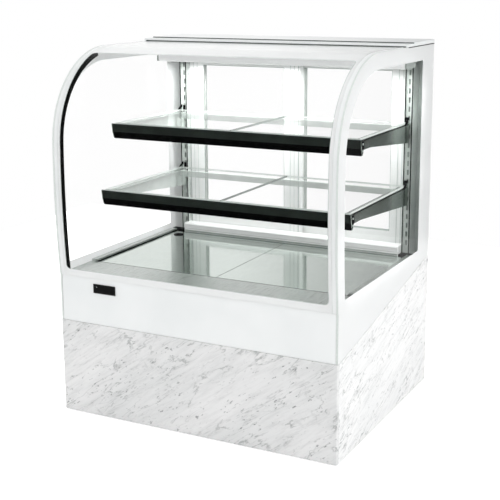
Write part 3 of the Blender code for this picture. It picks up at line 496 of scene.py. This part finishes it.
def sweepGlass(name, section, start):  # x and inset pairs, spun up the belly and round the corner
    points = [(x, *glassPoint(start, inset)) for x, inset in section]
    piece = drawOutline(name, points)
    bpy.ops.mesh.spin(steps=curve["bellySteps"], angle=turnAngle - start, center=belly, axis=(1, 0, 0))
    bpy.ops.mesh.spin(steps=curve["cornerSteps"], angle=pi / 2 - turnAngle, center=corner, axis=(1, 0, 0))
    bpy.ops.mesh.extrude_region_move(TRANSFORM_OT_translate={"value": (0, glassHigh.y - corner.y, 0)})
    bpy.ops.mesh.select_all(action="SELECT")
    bpy.ops.mesh.fill_holes(sides=0)
    return closeUp(piece)


frontPane = {
    "thickness": 0.006, "edge": 0.0008, "rim": 0.0005, "endTilt": 0.6,
    "ink": 0.0003, "inkGap": 0.00003, "line": 0.0012, "lineOuter": 0.00039, "lineInner": 0.00033,
    "windowHalf": 0.421, "windowFoot": 0.450, "windowRear": -0.190, "windowCorner": 0.012,
    "cornerSteps": 6, "cornerAngle": 60, "through": 0.05,
}


def frontWindow(grow):  # what the printed border leaves clear, as a block that cuts through it
    wide, foot = frontPane["windowHalf"] + grow, frontPane["windowFoot"] - grow
    near, top = glassLow.y - frontPane["through"], glassHigh.z + frontPane["through"]
    far = frontPane["windowRear"] + grow
    outline = [(-wide, near, foot), (wide, near, foot), (wide, near, top), (-wide, near, top)]
    window = pushOut("window", outline, (0, far - near, 0))
    softenEdges(window, frontPane["windowCorner"] + grow, frontPane["cornerSteps"], frontPane["cornerAngle"])
    return window


def frontBand(name, outer, inner):  # as wide as the pane, between two insets from its outer face
    half = glassHigh.x
    section = [(-half, outer), (half, outer), (half, inner), (-half, inner)]
    return sweepGlass(name, section, footAngle(glassLow.z, 0))


def buildFrontGlass():
    pane = frontBand("frontGlass", 0, frontPane["thickness"])
    softenEdges(pane, frontPane["edge"])
    smoothFaces(pane)
    settle(pane, "glass glassEdge", "cabinet", "clear_glass", "front_glass")
    foot, rear, tilt = glassLow.z + frontPane["rim"], glassHigh.y - frontPane["rim"], frontPane["endTilt"]
    edgeLooks(pane, lambda f: abs(f.normal.x) > tilt or f.center.z < foot or f.center.y > rear)
    border = frontBand("frontPrintedBorder", -frontPane["ink"], -frontPane["inkGap"])
    cutAway(border, frontWindow(0))
    smoothFaces(border)
    settle(border, "enamel", "cabinet", "white_paint")
    # A grey line over the print's inner edge, painted as shade.
    line = frontBand("frontWindowShadeLine", -frontPane["lineOuter"], -frontPane["lineInner"])
    cutAway(line, frontWindow(frontPane["line"]), "INTERSECT")
    cutAway(line, frontWindow(0))
    smoothFaces(line)
    settle(line, "printEdgeShade", "cabinet", "white_paint")


sidePane = {
    "edge": 0.0008, "gap": 0.0003, "ink": 0.0003, "inkGap": 0.00003, "border": 0.045,
    "windowFoot": 0.456, "windowRear": 0.103, "windowCorner": 0.004,
    "cornerSteps": 4, "cornerAngle": 60, "through": 0.05,
}


def buildSideGlass(name, side):
    low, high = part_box("side_glass_" + name)
    gap, inset = sidePane["gap"], sidePane["border"]
    outline = glassLine(footAngle(glassLow.z, 0), 0) + [
        (high.y, high.z), (high.y, slabHigh.z + gap), (fasciaHigh.y + gap, low.z),
        (fasciaLow.y, low.z), (fasciaLow.y, fasciaHigh.z),
    ]
    inner, outer = (low.x, high.x) if side > 0 else (high.x, low.x)
    pane = pushOut(f"sideGlass.{name}", [(inner, y, z) for y, z in outline], (outer - inner, 0, 0))
    softenEdges(pane, sidePane["edge"])
    smoothFaces(pane)
    settle(pane, "glass glassEdge", "cabinet", "clear_glass", "side_glass_" + name)
    edgeLooks(pane, lambda f: abs(f.normal.x) < facing)
    start, ink = outer + side * sidePane["inkGap"], side * sidePane["ink"]
    border = pushOut(f"sidePrintedBorder.{name}", [(start, y, z) for y, z in outline], (ink, 0, 0))
    foot, rear = sidePane["windowFoot"], high.y - sidePane["windowRear"]
    opening = glassLine(footAngle(foot, inset), inset)
    opening += [(rear, opening[-1][1]), (rear, foot)]
    through = side * sidePane["through"]
    window = pushOut("window", [(outer - through, y, z) for y, z in opening], (through * 2, 0, 0))
    softenEdges(window, sidePane["windowCorner"], sidePane["cornerSteps"], sidePane["cornerAngle"])
    cutAway(border, window)
    smoothFaces(border)
    settle(border, "enamel", "cabinet", "white_paint")


trim = {"groove": 0.0012, "depth": 0.011, "edge": 0.0008}
seal = {"round": 0.003, "roundSteps": 3, "smooth": 50, "depth": 0.012, "whiteFrom": -0.165}


def buildCorner(name, side):
    low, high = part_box("corner_trim_" + name)
    inner, outer = (low.x, high.x) if side > 0 else (high.x, low.x)
    third, groove = (outer - inner) / 3, trim["groove"]
    section = [(inner, 0)]
    for i in (1, 2):  # two grooves split the face in three
        x = inner + i * third
        section += [(x - side * groove, 0), (x, groove), (x + side * groove, 0)]
    section += [(outer, 0), (outer, trim["depth"]), (inner, trim["depth"])]
    bar = sweepGlass(f"cornerTrim.{name}", section, footAngle(glassLow.z, 0))
    softenEdges(bar, trim["edge"])
    smoothFaces(bar)
    settle(bar, "paint", "cabinet", "white_paint", "corner_trim_" + name)
    low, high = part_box("corner_seal_" + name)
    near = low.y - glassLow.y
    far = near + seal["depth"]
    section = [(low.x, near), (high.x, near), (high.x, far), (low.x, far)]
    strip = sweepGlass(f"cornerSeal.{name}", section, footAngle(low.z, near))
    softenEdges(strip, seal["round"], seal["roundSteps"])
    smoothFaces(strip, seal["smooth"])
    settle(strip, "rubber whiteAbs", "cabinet", "black_rubber", "corner_seal_" + name)
    edgeLooks(strip, lambda f: f.center.y > seal["whiteFrom"])


buildFrontGlass()
for name, side in sides:
    buildSideGlass(name, side)
    buildCorner(name, side)
print("glass skin built")


# Plates, slabs and sheet metal that keep their CAD shape. Each node has its piece, looks and slot,
# and how far its edges are broken.
refined = {
    "plinth_front_slab": ("plinthFront", "marbleFront", "white_stone", 0.0010),
    "plinth_left_slab": ("plinthSide.left", "marbleSide", "white_stone", 0.0010),
    "plinth_right_slab": ("plinthSide.right", "marbleSide", "white_stone", 0.0010),
    "front_fascia": ("frontFascia", "paint", "white_paint", 0.0012),
    "top_cover": ("topCover", "paint", "white_paint", 0.0015),
    "lamp_housing": ("lampHousing", "paint", "white_paint", 0.0015),
    "lamp_diffuser": ("lampDiffuser", "opal", "opal_plastic", 0.0020),
    "front_ledge": ("frontLedge", "brushed", "brushed_steel", 0.0006),
    "deck_left": ("deckPanel.left", "mirror", "polished_steel", 0.0006),
    "deck_right": ("deckPanel.right", "mirror", "polished_steel", 0.0006),
    "bottom_track": ("doorSill", "aluminium", "white_aluminium", 0.0006),
    "top_track": ("doorHead", "aluminium", "white_aluminium", 0.0006),
    "lower_rear_bar": ("shelfRearBar.lower", "satin", "brushed_steel", 0.0008),
    "upper_rear_bar": ("shelfRearBar.upper", "satin", "brushed_steel", 0.0008),
    "door_left_frame": ("doorFrame.left", "aluminium", "white_aluminium", 0.0008),
    "door_right_frame": ("doorFrame.right", "aluminium", "white_aluminium", 0.0008),
    "temperature_controller": ("temperatureController", "blackAbs", "black_plastic", 0.0008),
    "rear_grille": ("rearGrille", "brushed blackAbs", "brushed_steel", 0.0005),
    "insulated_tank": ("insulatedTank", "whiteAbs", "white_plastic", 0.0015),
    "base_frame": ("baseFrame", "enamelBlack", "black_enamel", 0.0008),
    "compressor": ("compressorCan", "enamelBlack", "black_enamel", 0.0020),
    "condenser_shroud": ("condenserShroud", "enamelBlack", "black_enamel", 0.0006),
    "evaporator_shroud": ("evaporatorShroud", "enamelBlack", "black_enamel", 0.0006),
    "condenser_coil": ("condenserCoil", "copper", "copper", 0.0004),
    "suction_pipe": ("suctionPipe", "copper", "copper", 0.0),
    "evaporator_coil": ("evaporatorCoil", "fins", "fin_aluminium", 0.0004),
    "condenser_fan": ("condenserFan", "fins", "fin_aluminium", 0.0004),
    "evaporator_fan": ("evaporatorFan", "fins", "fin_aluminium", 0.0004),
    "control_box": ("controlBox", "whiteAbs", "white_plastic", 0.0015),
    "light_switch": ("lightSwitch", "blackAbs", "black_plastic", 0.0006),
}
for end in ("front", "rear"):
    for name, _ in sides:
        foot = (f"foot.{end}{name.title()}", "enamelBlack", "black_plastic", 0.0010)
        refined[f"foot_{end}_{name}"] = foot
for name, _ in sides:
    for mark in "ab":
        roller = (f"doorRoller.{name}{mark.upper()}", "whiteAbs", "white_plastic", 0.0005)
        refined[f"door_{name}_roller_{mark}"] = roller
for node, (name, looks, slot, edge) in refined.items():
    refine(node, name, looks, slot, edge)
print("kept shapes refined:", len(refined))

panes = {
    "lower_glass_left": "shelfGlass.lowerLeft", "lower_glass_right": "shelfGlass.lowerRight",
    "upper_glass_left": "shelfGlass.upperLeft", "upper_glass_right": "shelfGlass.upperRight",
    "door_left_glass": "doorGlass.left", "door_right_glass": "doorGlass.right",
}
paneEdge = {"round": 0.0006, "joint": 0.01}


def buildPane(node, name):  # the edges where two shelf panes meet, near the middle, stay dark
    isDoor = node.startswith("door")
    across = 1 if isDoor else 2
    looks = "glass glassEdge" if isDoor else "glass glassEdge jointEdge"
    pane = refine(node, name, looks, "clear_glass", paneEdge["round"])

    def onEdge(face):
        return abs(face.normal[across]) < facing

    edgeLooks(pane, lambda f: onEdge(f) and (isDoor or abs(f.center.x) > paneEdge["joint"]), onEdge)


for node, name in panes.items():
    buildPane(node, name)
print("panes refined:", len(panes))

post = {"edge": 0.0007, "recess": 0.008, "slot": 0.0034, "floor": 0.0006, "level": 1e-4}


def buildPost(name):  # a silver channel with a pale slotted floor; its folded front lips are painted dark as a reflection, and its slots are painted grey as shade
    node, looks = "rear_post_" + name, "post slotFloor lip greyGasket"
    bar = refine(node, f"rearPost.{name}", looks, "polished_steel", post["edge"])
    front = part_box(node)[0].y
    floor = front + post["recess"]
    across = [f.center.x for f in bar.data.polygons if abs(f.center.y - floor) < post["level"]]
    middle = sum(across) / max(1, len(across))

    def onFront(face):
        return face.normal.y < -facing

    # the slot faces are painted grey as shade
    def inSlot(face):
        depth = face.center.y - floor
        isDeep = post["floor"] < depth < post["recess"] + post["floor"]
        return isDeep and abs(face.center.x - middle) < post["slot"]

    edgeLooks(bar, lambda f: onFront(f) and abs(f.center.y - floor) < post["floor"],
              lambda f: onFront(f) and f.center.y < front + post["floor"], inSlot)


for name, _ in sides:
    buildPost(name)

bracket = {"edge": 0.0005}


def buildBracket(level, name, side):  # polished outside, blasted satin on the face towards the goods
    node, title = f"{level}_bracket_{name}", f"shelfBracket.{level}{name.title()}"
    arm = refine(node, title, "bracket satin", "brushed_steel", bracket["edge"])
    edgeLooks(arm, lambda f: f.normal.x * side < -facing)


for level in levels:
    for name, side in sides:
        buildBracket(level, name, side)

rail = {
    "edge": 0.0010, "under": -0.25, "upFacing": 0.5, "cap": 0.0024, "gap": 0.0003, "rim": 0.0022,
    "capSmooth": 20, "sawn": (0.2, 0.95), "screw": 0.0030, "head": 0.0014, "socket": 0.0007,
}
railSection = [  # y and z from the upper front edge
    (0.0, 0.0), (0.010, 0.0), (0.010, -0.0038), (0.023, -0.0038),
    (0.026, -0.022), (0.012, -0.047), (0.0035, -0.0255),
]
railScrews = [(0.0130, -0.0130), (0.0130, -0.0320)]


def buildRail(level):  # a black rail, capped and screwed at both ends; its down-turned faces are painted near-black as shade and its up-facing top is painted light as a highlight
    node = level + "_front_rail"
    bar = refine(node, f"shelfRail.{level}", "anodised railFoot wornEdge", "black_anodised", rail["edge"])
    low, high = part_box(node)
    # Faces turned down get the near-black as painted shade, and faces turned up along the top get the pale
    # metal as a painted highlight.
    edgeLooks(bar, lambda f: f.normal.z < rail["under"],
              lambda f: f.normal.z > rail["upFacing"] and f.center.z > high.z - rail["edge"])
    flat, steep = rail["sawn"]
    for name, side in sides:
        mark = level + name.title()
        start = side * (high.x + rail["gap"])
        outline = [(start, low.y + y, high.z + z) for y, z in railSection]
        cap = pushOut(f"railCap.{mark}", outline, (side * rail["cap"], 0, 0))
        softenEdges(cap, rail["rim"], 1)
        smoothFaces(cap, rail["capSmooth"])
        settle(cap, "railFoot bracket", "cabinet", "black_anodised")
        edgeLooks(cap, lambda f: flat < abs(f.normal.x) < steep)  # the sawn rim is bright
        outside = start + side * (rail["cap"] + rail["head"] / 2)
        for i, (y, z) in enumerate(railScrews):
            screw = addStud(f"railScrew.{mark}{i}", (outside, low.y + y, high.z + z), (side, 0, 0),
                            rail["screw"], rail["head"], rail["socket"])
            settle(screw, "satin", "cabinet", "polished_steel")


for level in levels:
    buildRail(level)

topJoint = {
    "drop": 0.0030, "skin": 0.001, "edge": 0.0010, "clear": 0.0002, "short": 0.002,
    "line": 0.0016, "under": 0.0004, "lineRound": 0.0003,
    "over": 0.010, "deep": 0.006, "rise": 0.0030, "beadRound": 0.0005,
    "hang": 0.0022, "inside": 0.0005, "outside": 0.0003, "hangRound": 0.0002,
}


def buildTopJoints():  # the strip sunk below the cover, and dark strips along it and under the cover's sides that paint the shade of these joints
    low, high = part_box("top_strip")
    coverLow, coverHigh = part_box("top_cover")
    strip = copyNode("top_strip", "topStrip")
    pickFaces(strip, lambda face: face.normal.z > facing and face.center.z > high.z - topJoint["skin"])
    bpy.ops.transform.translate(value=(0, 0, -topJoint["drop"]))
    leaveEdit()
    softenEdges(strip, topJoint["edge"])
    smoothFaces(strip)
    settle(strip, "paint", "cabinet", "white_paint", "top_strip")
    clear, short = topJoint["clear"], topJoint["short"]
    step = addBlock("topCoverShadeStrip",
                    (low.x + short, coverLow.y - topJoint["line"], high.z - topJoint["drop"] + clear),
                    (high.x - short, coverLow.y - clear, high.z - topJoint["under"]), topJoint["lineRound"])
    settle(step, "darkJointShade", "cabinet", "black_rubber")
    reach = glassHigh.x + topJoint["over"]
    bead = addBlock("glassTopShadeStrip", (-reach, glassHigh.y + clear, glassHigh.z - topJoint["deep"]),
                    (reach, low.y - clear, glassHigh.z + topJoint["rise"]), topJoint["beadRound"])
    settle(bead, "darkJointShade", "cabinet", "black_rubber")
    inside, outside = sideHigh.x + topJoint["inside"], coverHigh.x - topJoint["outside"]
    for name, side in sides:
        near, far = sorted((side * inside, side * outside))
        hang = addBlock(f"coverSideShadeStrip.{name}", (near, low.y + short, coverLow.z - topJoint["hang"]),
                        (far, coverHigh.y - short, coverLow.z - clear), topJoint["hangRound"])
        settle(hang, "rubber", "cabinet", "black_rubber")


buildTopJoints()
print("rails and top joints built")

deckEdge = {
    "inner": 0.0033, "height": 0.0070, "round": 0.0012, "seal": 0.0022, "lip": 0.0022,
    "clear": 0.0003, "edge": 0.0003,
}
postPad = {"inner": 0.3880, "outer": 0.4410, "gap": 0.0006, "rear": 0.2890, "top": 0.4400, "round": 0.0015}
settingBlock = {
    "near": (0.4205, -0.3350), "far": (0.4420, -0.2980), "clear": 0.0004, "top": 0.4700, "round": 0.0020,
}
airSlot = {"gap": 0.0003, "sunk": 0.0004, "round": 0.0004}


def buildDeckEdges():  # kerbs and seals along the deck, and the rubber pads, block and bead round it
    deckOut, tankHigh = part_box("deck_right")[1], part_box("insulated_tank")[1]
    ledge, clear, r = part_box("front_ledge")[1], deckEdge["clear"], deckEdge["round"]
    start, stop = ledge.y + clear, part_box("bottom_track")[0].y - clear
    base, top = tankHigh.z + clear, deckHigh.z + deckEdge["height"]
    inner, outer = deckOut.x + deckEdge["inner"], tankHigh.x - clear
    kerb = [(inner, base), (outer, base), (outer, top - r),
            (outer - r, top), (inner + r, top), (inner, top - r)]
    far = inner - clear
    near, lip = far - deckEdge["seal"], deckHigh.z + deckEdge["lip"]
    bulb = [(near, base), (far, base), (far, lip - r / 2),
            (far - r / 2, lip), (near + r, lip), (near, lip - r)]
    strips = (("deckKerb", kerb, "brushed", "brushed_steel"), ("deckSeal", bulb, "rubber", "black_rubber"))
    for name, side in sides:
        for title, outline, look, slot in strips:
            bar = pushOut(f"{title}.{name}", [(side * x, start, z) for x, z in outline], (0, stop - start, 0))
            softenEdges(bar, deckEdge["edge"])
            smoothFaces(bar)
            settle(bar, look, "cabinet", slot)
        padLow, padHigh = sorted((side * postPad["inner"], side * postPad["outer"]))
        pad = addBlock(f"postPad.{name}", (padLow, stop + postPad["gap"], base),
                       (padHigh, postPad["rear"], postPad["top"]), postPad["round"], 3)
        settle(pad, "rubber", "cabinet", "black_rubber")
    block = addBlock("settingBlock", (*settingBlock["near"], deckHigh.z + settingBlock["clear"]),
                     (*settingBlock["far"], settingBlock["top"]), settingBlock["round"], 3)
    settle(block, "rubber", "cabinet", "black_rubber")
    bead = addBlock("airSlotBead", (-deckOut.x, ledge.y + airSlot["gap"], base),
                    (deckOut.x, deckLow.y - airSlot["gap"], deckHigh.z - airSlot["sunk"]), airSlot["round"])
    settle(bead, "rubber", "cabinet", "black_rubber")


buildDeckEdges()

sill = {
    "skirt": 0.0055, "proud": 0.0009, "ribs": (0.0150, 0.0205, 0.0260), "rib": 0.0022,
    "clear": 0.0002, "short": 0.001, "foot": 0.0004, "skirtRound": 0.0003, "ribRound": 0.0004,
}


def buildSill():  # a grey skirt and three ribs along the front of the door sill
    low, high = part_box("bottom_track")
    left, right = low.x + sill["short"], high.x - sill["short"]
    front, back = low.y - sill["clear"] - sill["proud"], low.y - sill["clear"]
    foot = deckHigh.z + sill["foot"]
    skirt = addBlock("sillSkirt", (left, front, foot), (right, back, foot + sill["skirt"]),
                     sill["skirtRound"])
    settle(skirt, "greyGasket", "cabinet", "black_rubber")
    for i, rise in enumerate(sill["ribs"]):
        base = low.z + rise
        rib = addBlock(f"sillRib.{i}", (left, front, base), (right, back, base + sill["rib"]),
                       sill["ribRound"], 3)
        settle(rib, "aluminium", "cabinet", "white_aluminium")


buildSill()
print("deck edges built")

controller = {
    "margin": 0.005, "proud": 0.0005, "sunk": 0.001, "round": 0.0003, "dot": 0.0010, "dotIn": 0.013,
    "dotDown": 0.0085, "dotProud": 0.0001, "dotDepth": 0.0006, "dotDish": 0.0001,
}


def buildController():  # a smoked window with a small lamp near its upper left corner
    low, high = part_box("temperature_controller")
    margin, face = controller["margin"], low.y - controller["proud"]
    window = addBlock("controllerWindow", (low.x + margin, face, low.z + margin),
                      (high.x - margin, low.y + controller["sunk"], high.z - margin), controller["round"])
    settle(window, "smoked", "cabinet", "black_plastic")
    spot = (low.x + controller["dotIn"], face - controller["dotProud"], high.z - controller["dotDown"])
    dot = addStud("controllerLamp", spot, (0, -1, 0),
                  controller["dot"], controller["dotDepth"], controller["dotDish"])
    settle(dot, "indicator", "cabinet", "white_plastic")


buildController()

glazing = {
    "width": 0.0016, "clear": 0.0002, "stile": 0.057, "rail": 0.050, "sunk": 0.0012, "gap": 0.0003,
    "round": 0.0003, "through": 0.01, "cornerRound": 0.0005,
}


def buildGlazingBead(name):  # a grey ring on each side of the door's pane
    low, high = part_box(f"door_{name}_frame")
    paneLow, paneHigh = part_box(f"door_{name}_glass")
    left, right = low.x + glazing["stile"] + glazing["clear"], high.x - glazing["stile"] - glazing["clear"]
    foot, top = low.z + glazing["rail"] + glazing["clear"], high.z - glazing["rail"] - glazing["clear"]
    wide, through = glazing["width"], glazing["through"]
    spans = {
        "Front": (low.y + glazing["sunk"], paneLow.y - glazing["gap"]),
        "Rear": (paneHigh.y + glazing["gap"], high.y - glazing["sunk"]),
    }
    for title, (near, far) in spans.items():
        outline = [(left, near, foot), (right, near, foot), (right, near, top), (left, near, top)]
        ring = pushOut(f"glazingBead{title}.{name}", outline, (0, far - near, 0))
        cutAway(ring, addBlock("opening", (left + wide, near - through, foot + wide),
                               (right - wide, far + through, top - wide), glazing["cornerRound"]))
        softenEdges(ring, glazing["round"])
        smoothFaces(ring)
        settle(ring, "greyGasket", f"door_{name}", "black_rubber")


for name, _ in sides:
    buildGlazingBead(name)

pile = {
    "width": 0.0022, "proud": 0.0012, "clear": 0.0002, "inset": (0.0040, 0.0190, 0.0330),
    "short": 0.004, "round": 0.0003,
}


def buildBrushSeals(name):  # fine pile strips let into the stiles that close against post and partner
    low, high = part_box(f"door_{name}_frame")
    front, back = low.y - pile["clear"] - pile["proud"], low.y - pile["clear"]
    foot, top = low.z + pile["short"], high.z - pile["short"]
    for title, edge, way in (("Left", low.x, 1), ("Right", high.x, -1)):
        for i, inset in enumerate(pile["inset"]):
            near, far = sorted((edge + way * inset, edge + way * (inset + pile["width"])))
            strip = addBlock(f"brushSeal.{name}{title}{i}", (near, front, foot), (far, back, top),
                             pile["round"])
            settle(strip, "greyGasket" if i == 0 else "palePile", f"door_{name}", "black_rubber")


for name, _ in sides:
    buildBrushSeals(name)

pull = {"width": 0.026, "height": 0.140, "depth": 0.006, "clear": 0.0003, "plate": 0.0010, "round": 0.0004}


def buildPull(name, side):  # a steel plate in the bottom of the finger pull, on the staff side
    low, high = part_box(f"door_{name}_frame")
    middle = (high.x if side > 0 else low.x) - side * glazing["stile"] / 2
    wide, tall = pull["width"] / 2 - pull["clear"], pull["height"] / 2 - pull["clear"]
    level, floor = (low.z + high.z) / 2, high.y - pull["depth"] + pull["clear"]
    plate = addBlock(f"doorPull.{name}", (middle - wide, floor, level - tall),
                     (middle + wide, floor + pull["plate"], level + tall), pull["round"])
    settle(plate, "brushed", f"door_{name}", "brushed_steel")


for name, side in sides:
    buildPull(name, side)

lampEnd = {"gap": 0.0003, "thick": 0.006, "inset": 0.001, "round": 0.0012}


def buildLampEnds():
    low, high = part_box("lamp_diffuser")
    inset, start = lampEnd["inset"], high.x + lampEnd["gap"]
    for name, side in sides:
        near, far = sorted((side * start, side * (start + lampEnd["thick"])))
        cap = addBlock(f"lampEndCap.{name}", (near, low.y + inset, low.z + inset),
                       (far, high.y - inset, high.z - inset), lampEnd["round"])
        settle(cap, "greyGasket", "cabinet", "white_plastic")


buildLampEnds()

fingerCup = {
    "fromSide": 0.036, "fromRear": 0.052, "flange": 0.0170, "thick": 0.0016, "clear": 0.0002, "corners": 48,
    "well": 0.0118, "wall": 0.0012, "drop": 0.0150, "floor": 0.0012, "edge": 0.0005,
}


def buildFingerCup():  # a flange on the deck and a blind well through its finger hole
    thick, drop, flange = fingerCup["thick"], fingerCup["drop"], fingerCup["flange"]
    level = deckHigh.z + fingerCup["clear"] + thick / 2
    spot = (deckLow.x + fingerCup["fromSide"], deckHigh.y - fingerCup["fromRear"], level)
    bpy.ops.object.select_all(action="DESELECT")
    bpy.ops.mesh.primitive_cylinder_add(
        vertices=fingerCup["corners"], radius=flange, depth=thick, location=spot)
    cup = bpy.context.object
    cup.name = "fingerCup"
    bpy.ops.object.transform_apply(location=True, rotation=True, scale=True)
    inner = fingerCup["well"] - fingerCup["wall"]
    for way, radius, travel in ((-1, fingerCup["well"], drop), (1, inner, drop + thick - fingerCup["floor"])):
        pickFaces(cup, lambda face: face.normal.z * way > facing and abs(face.center.z - level) < thick)
        bpy.ops.mesh.inset(thickness=flange - radius)
        bpy.ops.mesh.extrude_region_move(TRANSFORM_OT_translate={"value": (0, 0, -travel)})
        leaveEdit()
    softenEdges(cup, fingerCup["edge"])
    smoothFaces(cup)
    settle(cup, "blackAbs", "deck_left", "black_plastic")


buildFingerCup()

grille = {"sheet": 0.003, "clear": 0.0002, "run": 0.0012, "rim": 0.0035, "proud": 0.0016, "edge": 0.0006}


def buildGrilleFittings():  # the plastic gland, and a bezel round the light switch
    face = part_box("rear_grille")[0].y + grille["sheet"] + grille["clear"]
    edgeLooks(bpy.data.objects["rearGrille"], lambda f: f.center.y > face)
    low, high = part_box("light_switch")
    run, rim = Vector((grille["run"], 0, grille["run"])), Vector((grille["rim"], 0, grille["rim"]))
    low.y, high.y = face, face + grille["proud"]
    bezel = addBlock("switchBezel", low - run - rim, high + run + rim, grille["edge"])
    through = Vector((0, grille["proud"], 0))
    cutAway(bezel, addBlock("opening", low - run - through, high + run + through, grille["edge"]))
    smoothFaces(bezel)
    settle(bezel, "blackAbs", "cabinet", "black_plastic")


buildGrilleFittings()

clip = {
    "thick": 0.0030, "gap": 0.0003, "round": 0.0006,
    "pin": 0.0042, "pinDepth": 0.0070, "pinDish": 0.001, "pinAt": (-0.015, 0.0075),
}
clipOutline = [  # y and z from the post's front and the bracket's top
    (-0.036, -0.004), (-0.020, 0.001), (-0.004, 0.012), (-0.004, 0.021), (-0.020, 0.013), (-0.036, 0.003),
]
seam = {"thick": 0.0008, "drop": 0.0024, "height": 0.0026, "short": 0.004, "round": 0.0002}
paneStop = {"near": 0.0015, "far": 0.0105, "front": 0.0038, "gap": 0.0003, "height": 0.018, "round": 0.0008}


def buildClip(level, name, side):  # a bracket's clip, its pin, the seam along it and the stop at its post
    low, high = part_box(f"{level}_bracket_{name}")
    front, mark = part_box(f"rear_post_{name}")[0].y, level + name.title()
    web = (high.x if side > 0 else low.x) + side * clip["gap"]
    arm = pushOut(f"bracketClip.{mark}", [(web, front + y, high.z + z) for y, z in clipOutline],
                  (side * clip["thick"], 0, 0))
    softenEdges(arm, clip["round"])
    smoothFaces(arm)
    settle(arm, "railFoot", "cabinet", "black_plastic")
    spot = (web + side * clip["thick"] / 2, front + clip["pinAt"][0], high.z + clip["pinAt"][1])
    pin = addStud(f"bracketPin.{mark}", spot, (1, 0, 0), clip["pin"], clip["pinDepth"], clip["pinDish"])
    settle(pin, "mirror", "cabinet", "polished_steel")
    near, far = sorted((web, web + side * seam["thick"]))
    strip = addBlock(f"bracketSeam.{mark}",
                     (near, low.y + seam["short"], high.z - seam["drop"] - seam["height"]),
                     (far, front - seam["short"], high.z - seam["drop"]), seam["round"])
    settle(strip, "rubber", "cabinet", "black_rubber")
    near, far = sorted((web - side * paneStop["near"], web - side * paneStop["far"]))
    stop = addBlock(f"bracketStop.{mark}", (near, front - paneStop["front"], high.z + paneStop["gap"]),
                    (far, front - paneStop["gap"], high.z + paneStop["height"]), paneStop["round"])
    settle(stop, "rubber", "cabinet", "black_rubber")


for level in levels:
    for name, side in sides:
        buildClip(level, name, side)
print("small fittings built")


# A white studio. Glossy rays see it bright on the left, a little to the rear, and dim elsewhere.
studio = {
    "floor": 4.4, "floorGlow": 0.66, "ambient": 0.57, "away": (-0.94, 0.34, 0.0),
    "dim": 0.16, "bright": 1.0, "dimFrom": 0.56, "brightFrom": 0.72, "paths": 32,
}
lamps = {
    "keyLamp": {"place": (3.3, -0.7, 2.0), "aim": (0, 0, 0.6), "size": (2.2, 2.2), "power": 62},
    "sideLamp": {"place": (-3.3, 0.5, 1.7), "aim": (0, 0, 0.6), "size": (2.2, 2.2), "power": 36},
    "fillLamp": {"place": (-1.8, -3.2, 1.7), "aim": (0, 0, 0.6), "size": (2.4, 2.4), "power": 21},
    "topLamp": {"place": (0.3, -1.6, 3.0), "aim": (0, 0, 0.8), "size": (2.6, 2.6), "power": 19},
    "backLamp": {"place": (-1.2, 3.2, 2.2), "aim": (0, 0, 0.6), "size": (2.4, 2.4), "power": 30},
    "caseLamp": {"place": (0.0, 0.205, 1.0150), "aim": (0, 0.16, 0.6), "size": (0.80, 0.05), "power": 4.4},
}


def buildFloor():  # pale, with the case's shadow, and close to white where the camera sees it
    bpy.ops.object.select_all(action="DESELECT")
    bpy.ops.mesh.primitive_plane_add(size=studio["floor"], location=(0, 0, 0))
    floor = bpy.context.object
    floor.name = "studioFloor"
    material, shader, _ = startMaterial("paleFloor", Roughness=0.9, Specular_IOR_Level=0.0,
                                        Base_Color=hexColour("#F4F4F4"))
    path = addNode(material, "LightPath")
    glow = addNode(material, "Emission", {"Color": hexColour("#FFFFFF"), "Strength": studio["floorGlow"]})
    lit = addNode(material, "AddShader", {0: shader.outputs[0], 1: glow.outputs[0]})
    through = path.outputs["Is Transmission Ray"]
    seen = addNode(material, "Math", {0: path.outputs["Is Camera Ray"], 1: through}, operation="MAXIMUM")
    mix = addNode(material, "MixShader", {0: seen.outputs[0], 1: shader.outputs[0], 2: lit.outputs[0]})
    joinTo(material, mix.outputs[0], material.node_tree.nodes["Material Output"], "Surface")
    floor.data.materials.append(material)


def buildWorld():
    world = bpy.data.worlds.new("whiteStudio")
    scene.world = world
    world.use_nodes = True
    world.node_tree.nodes.clear()
    path = addNode(world, "LightPath")
    through = path.outputs["Is Transmission Ray"]
    seen = addNode(world, "Math", {0: path.outputs["Is Camera Ray"], 1: through}, operation="MAXIMUM")
    way = addNode(world, "TexCoord").outputs["Generated"]
    away = addNode(world, "VectorMath", {0: way, 1: studio["away"]}, operation="DOT_PRODUCT").outputs["Value"]
    depth = addNode(world, "MapRange", {
        0: away, 1: studio["dimFrom"], 2: studio["brightFrom"], 3: studio["dim"], 4: studio["bright"]})
    white = hexColour("#FFFFFF")
    gloss = addNode(world, "Background", {"Color": white, "Strength": depth.outputs[0]})
    soft = addNode(world, "Background", {"Color": white, "Strength": studio["ambient"]})
    plain = addNode(world, "Background", {"Color": white, "Strength": 1.0})
    base = addNode(world, "MixShader", {
        0: path.outputs["Is Glossy Ray"], 1: soft.outputs[0], 2: gloss.outputs[0]})
    mix = addNode(world, "MixShader", {0: seen.outputs[0], 1: base.outputs[0], 2: plain.outputs[0]})
    addNode(world, "OutputWorld", {"Surface": mix.outputs[0]})


def hangLamps():
    for name, lamp in lamps.items():
        bpy.ops.object.light_add(type="AREA", location=lamp["place"])
        light = bpy.context.object
        light.name = name
        light.data.shape = "RECTANGLE"
        light.data.size, light.data.size_y = lamp["size"]
        light.data.energy = lamp["power"]
        light.visible_glossy = False  # polished steel shows the studio, not the lamps
        light.visible_camera = False
        aim = Vector(lamp["aim"]) - Vector(lamp["place"])
        light.rotation_euler = aim.to_track_quat("-Z", "Y").to_euler()  # long side across the case


buildFloor()
buildWorld()
hangLamps()
scene.view_settings.view_transform = "Standard"
scene.cycles.transparent_max_bounces = studio["paths"]  # the case is up to a dozen glass faces deep
print("studio lit")
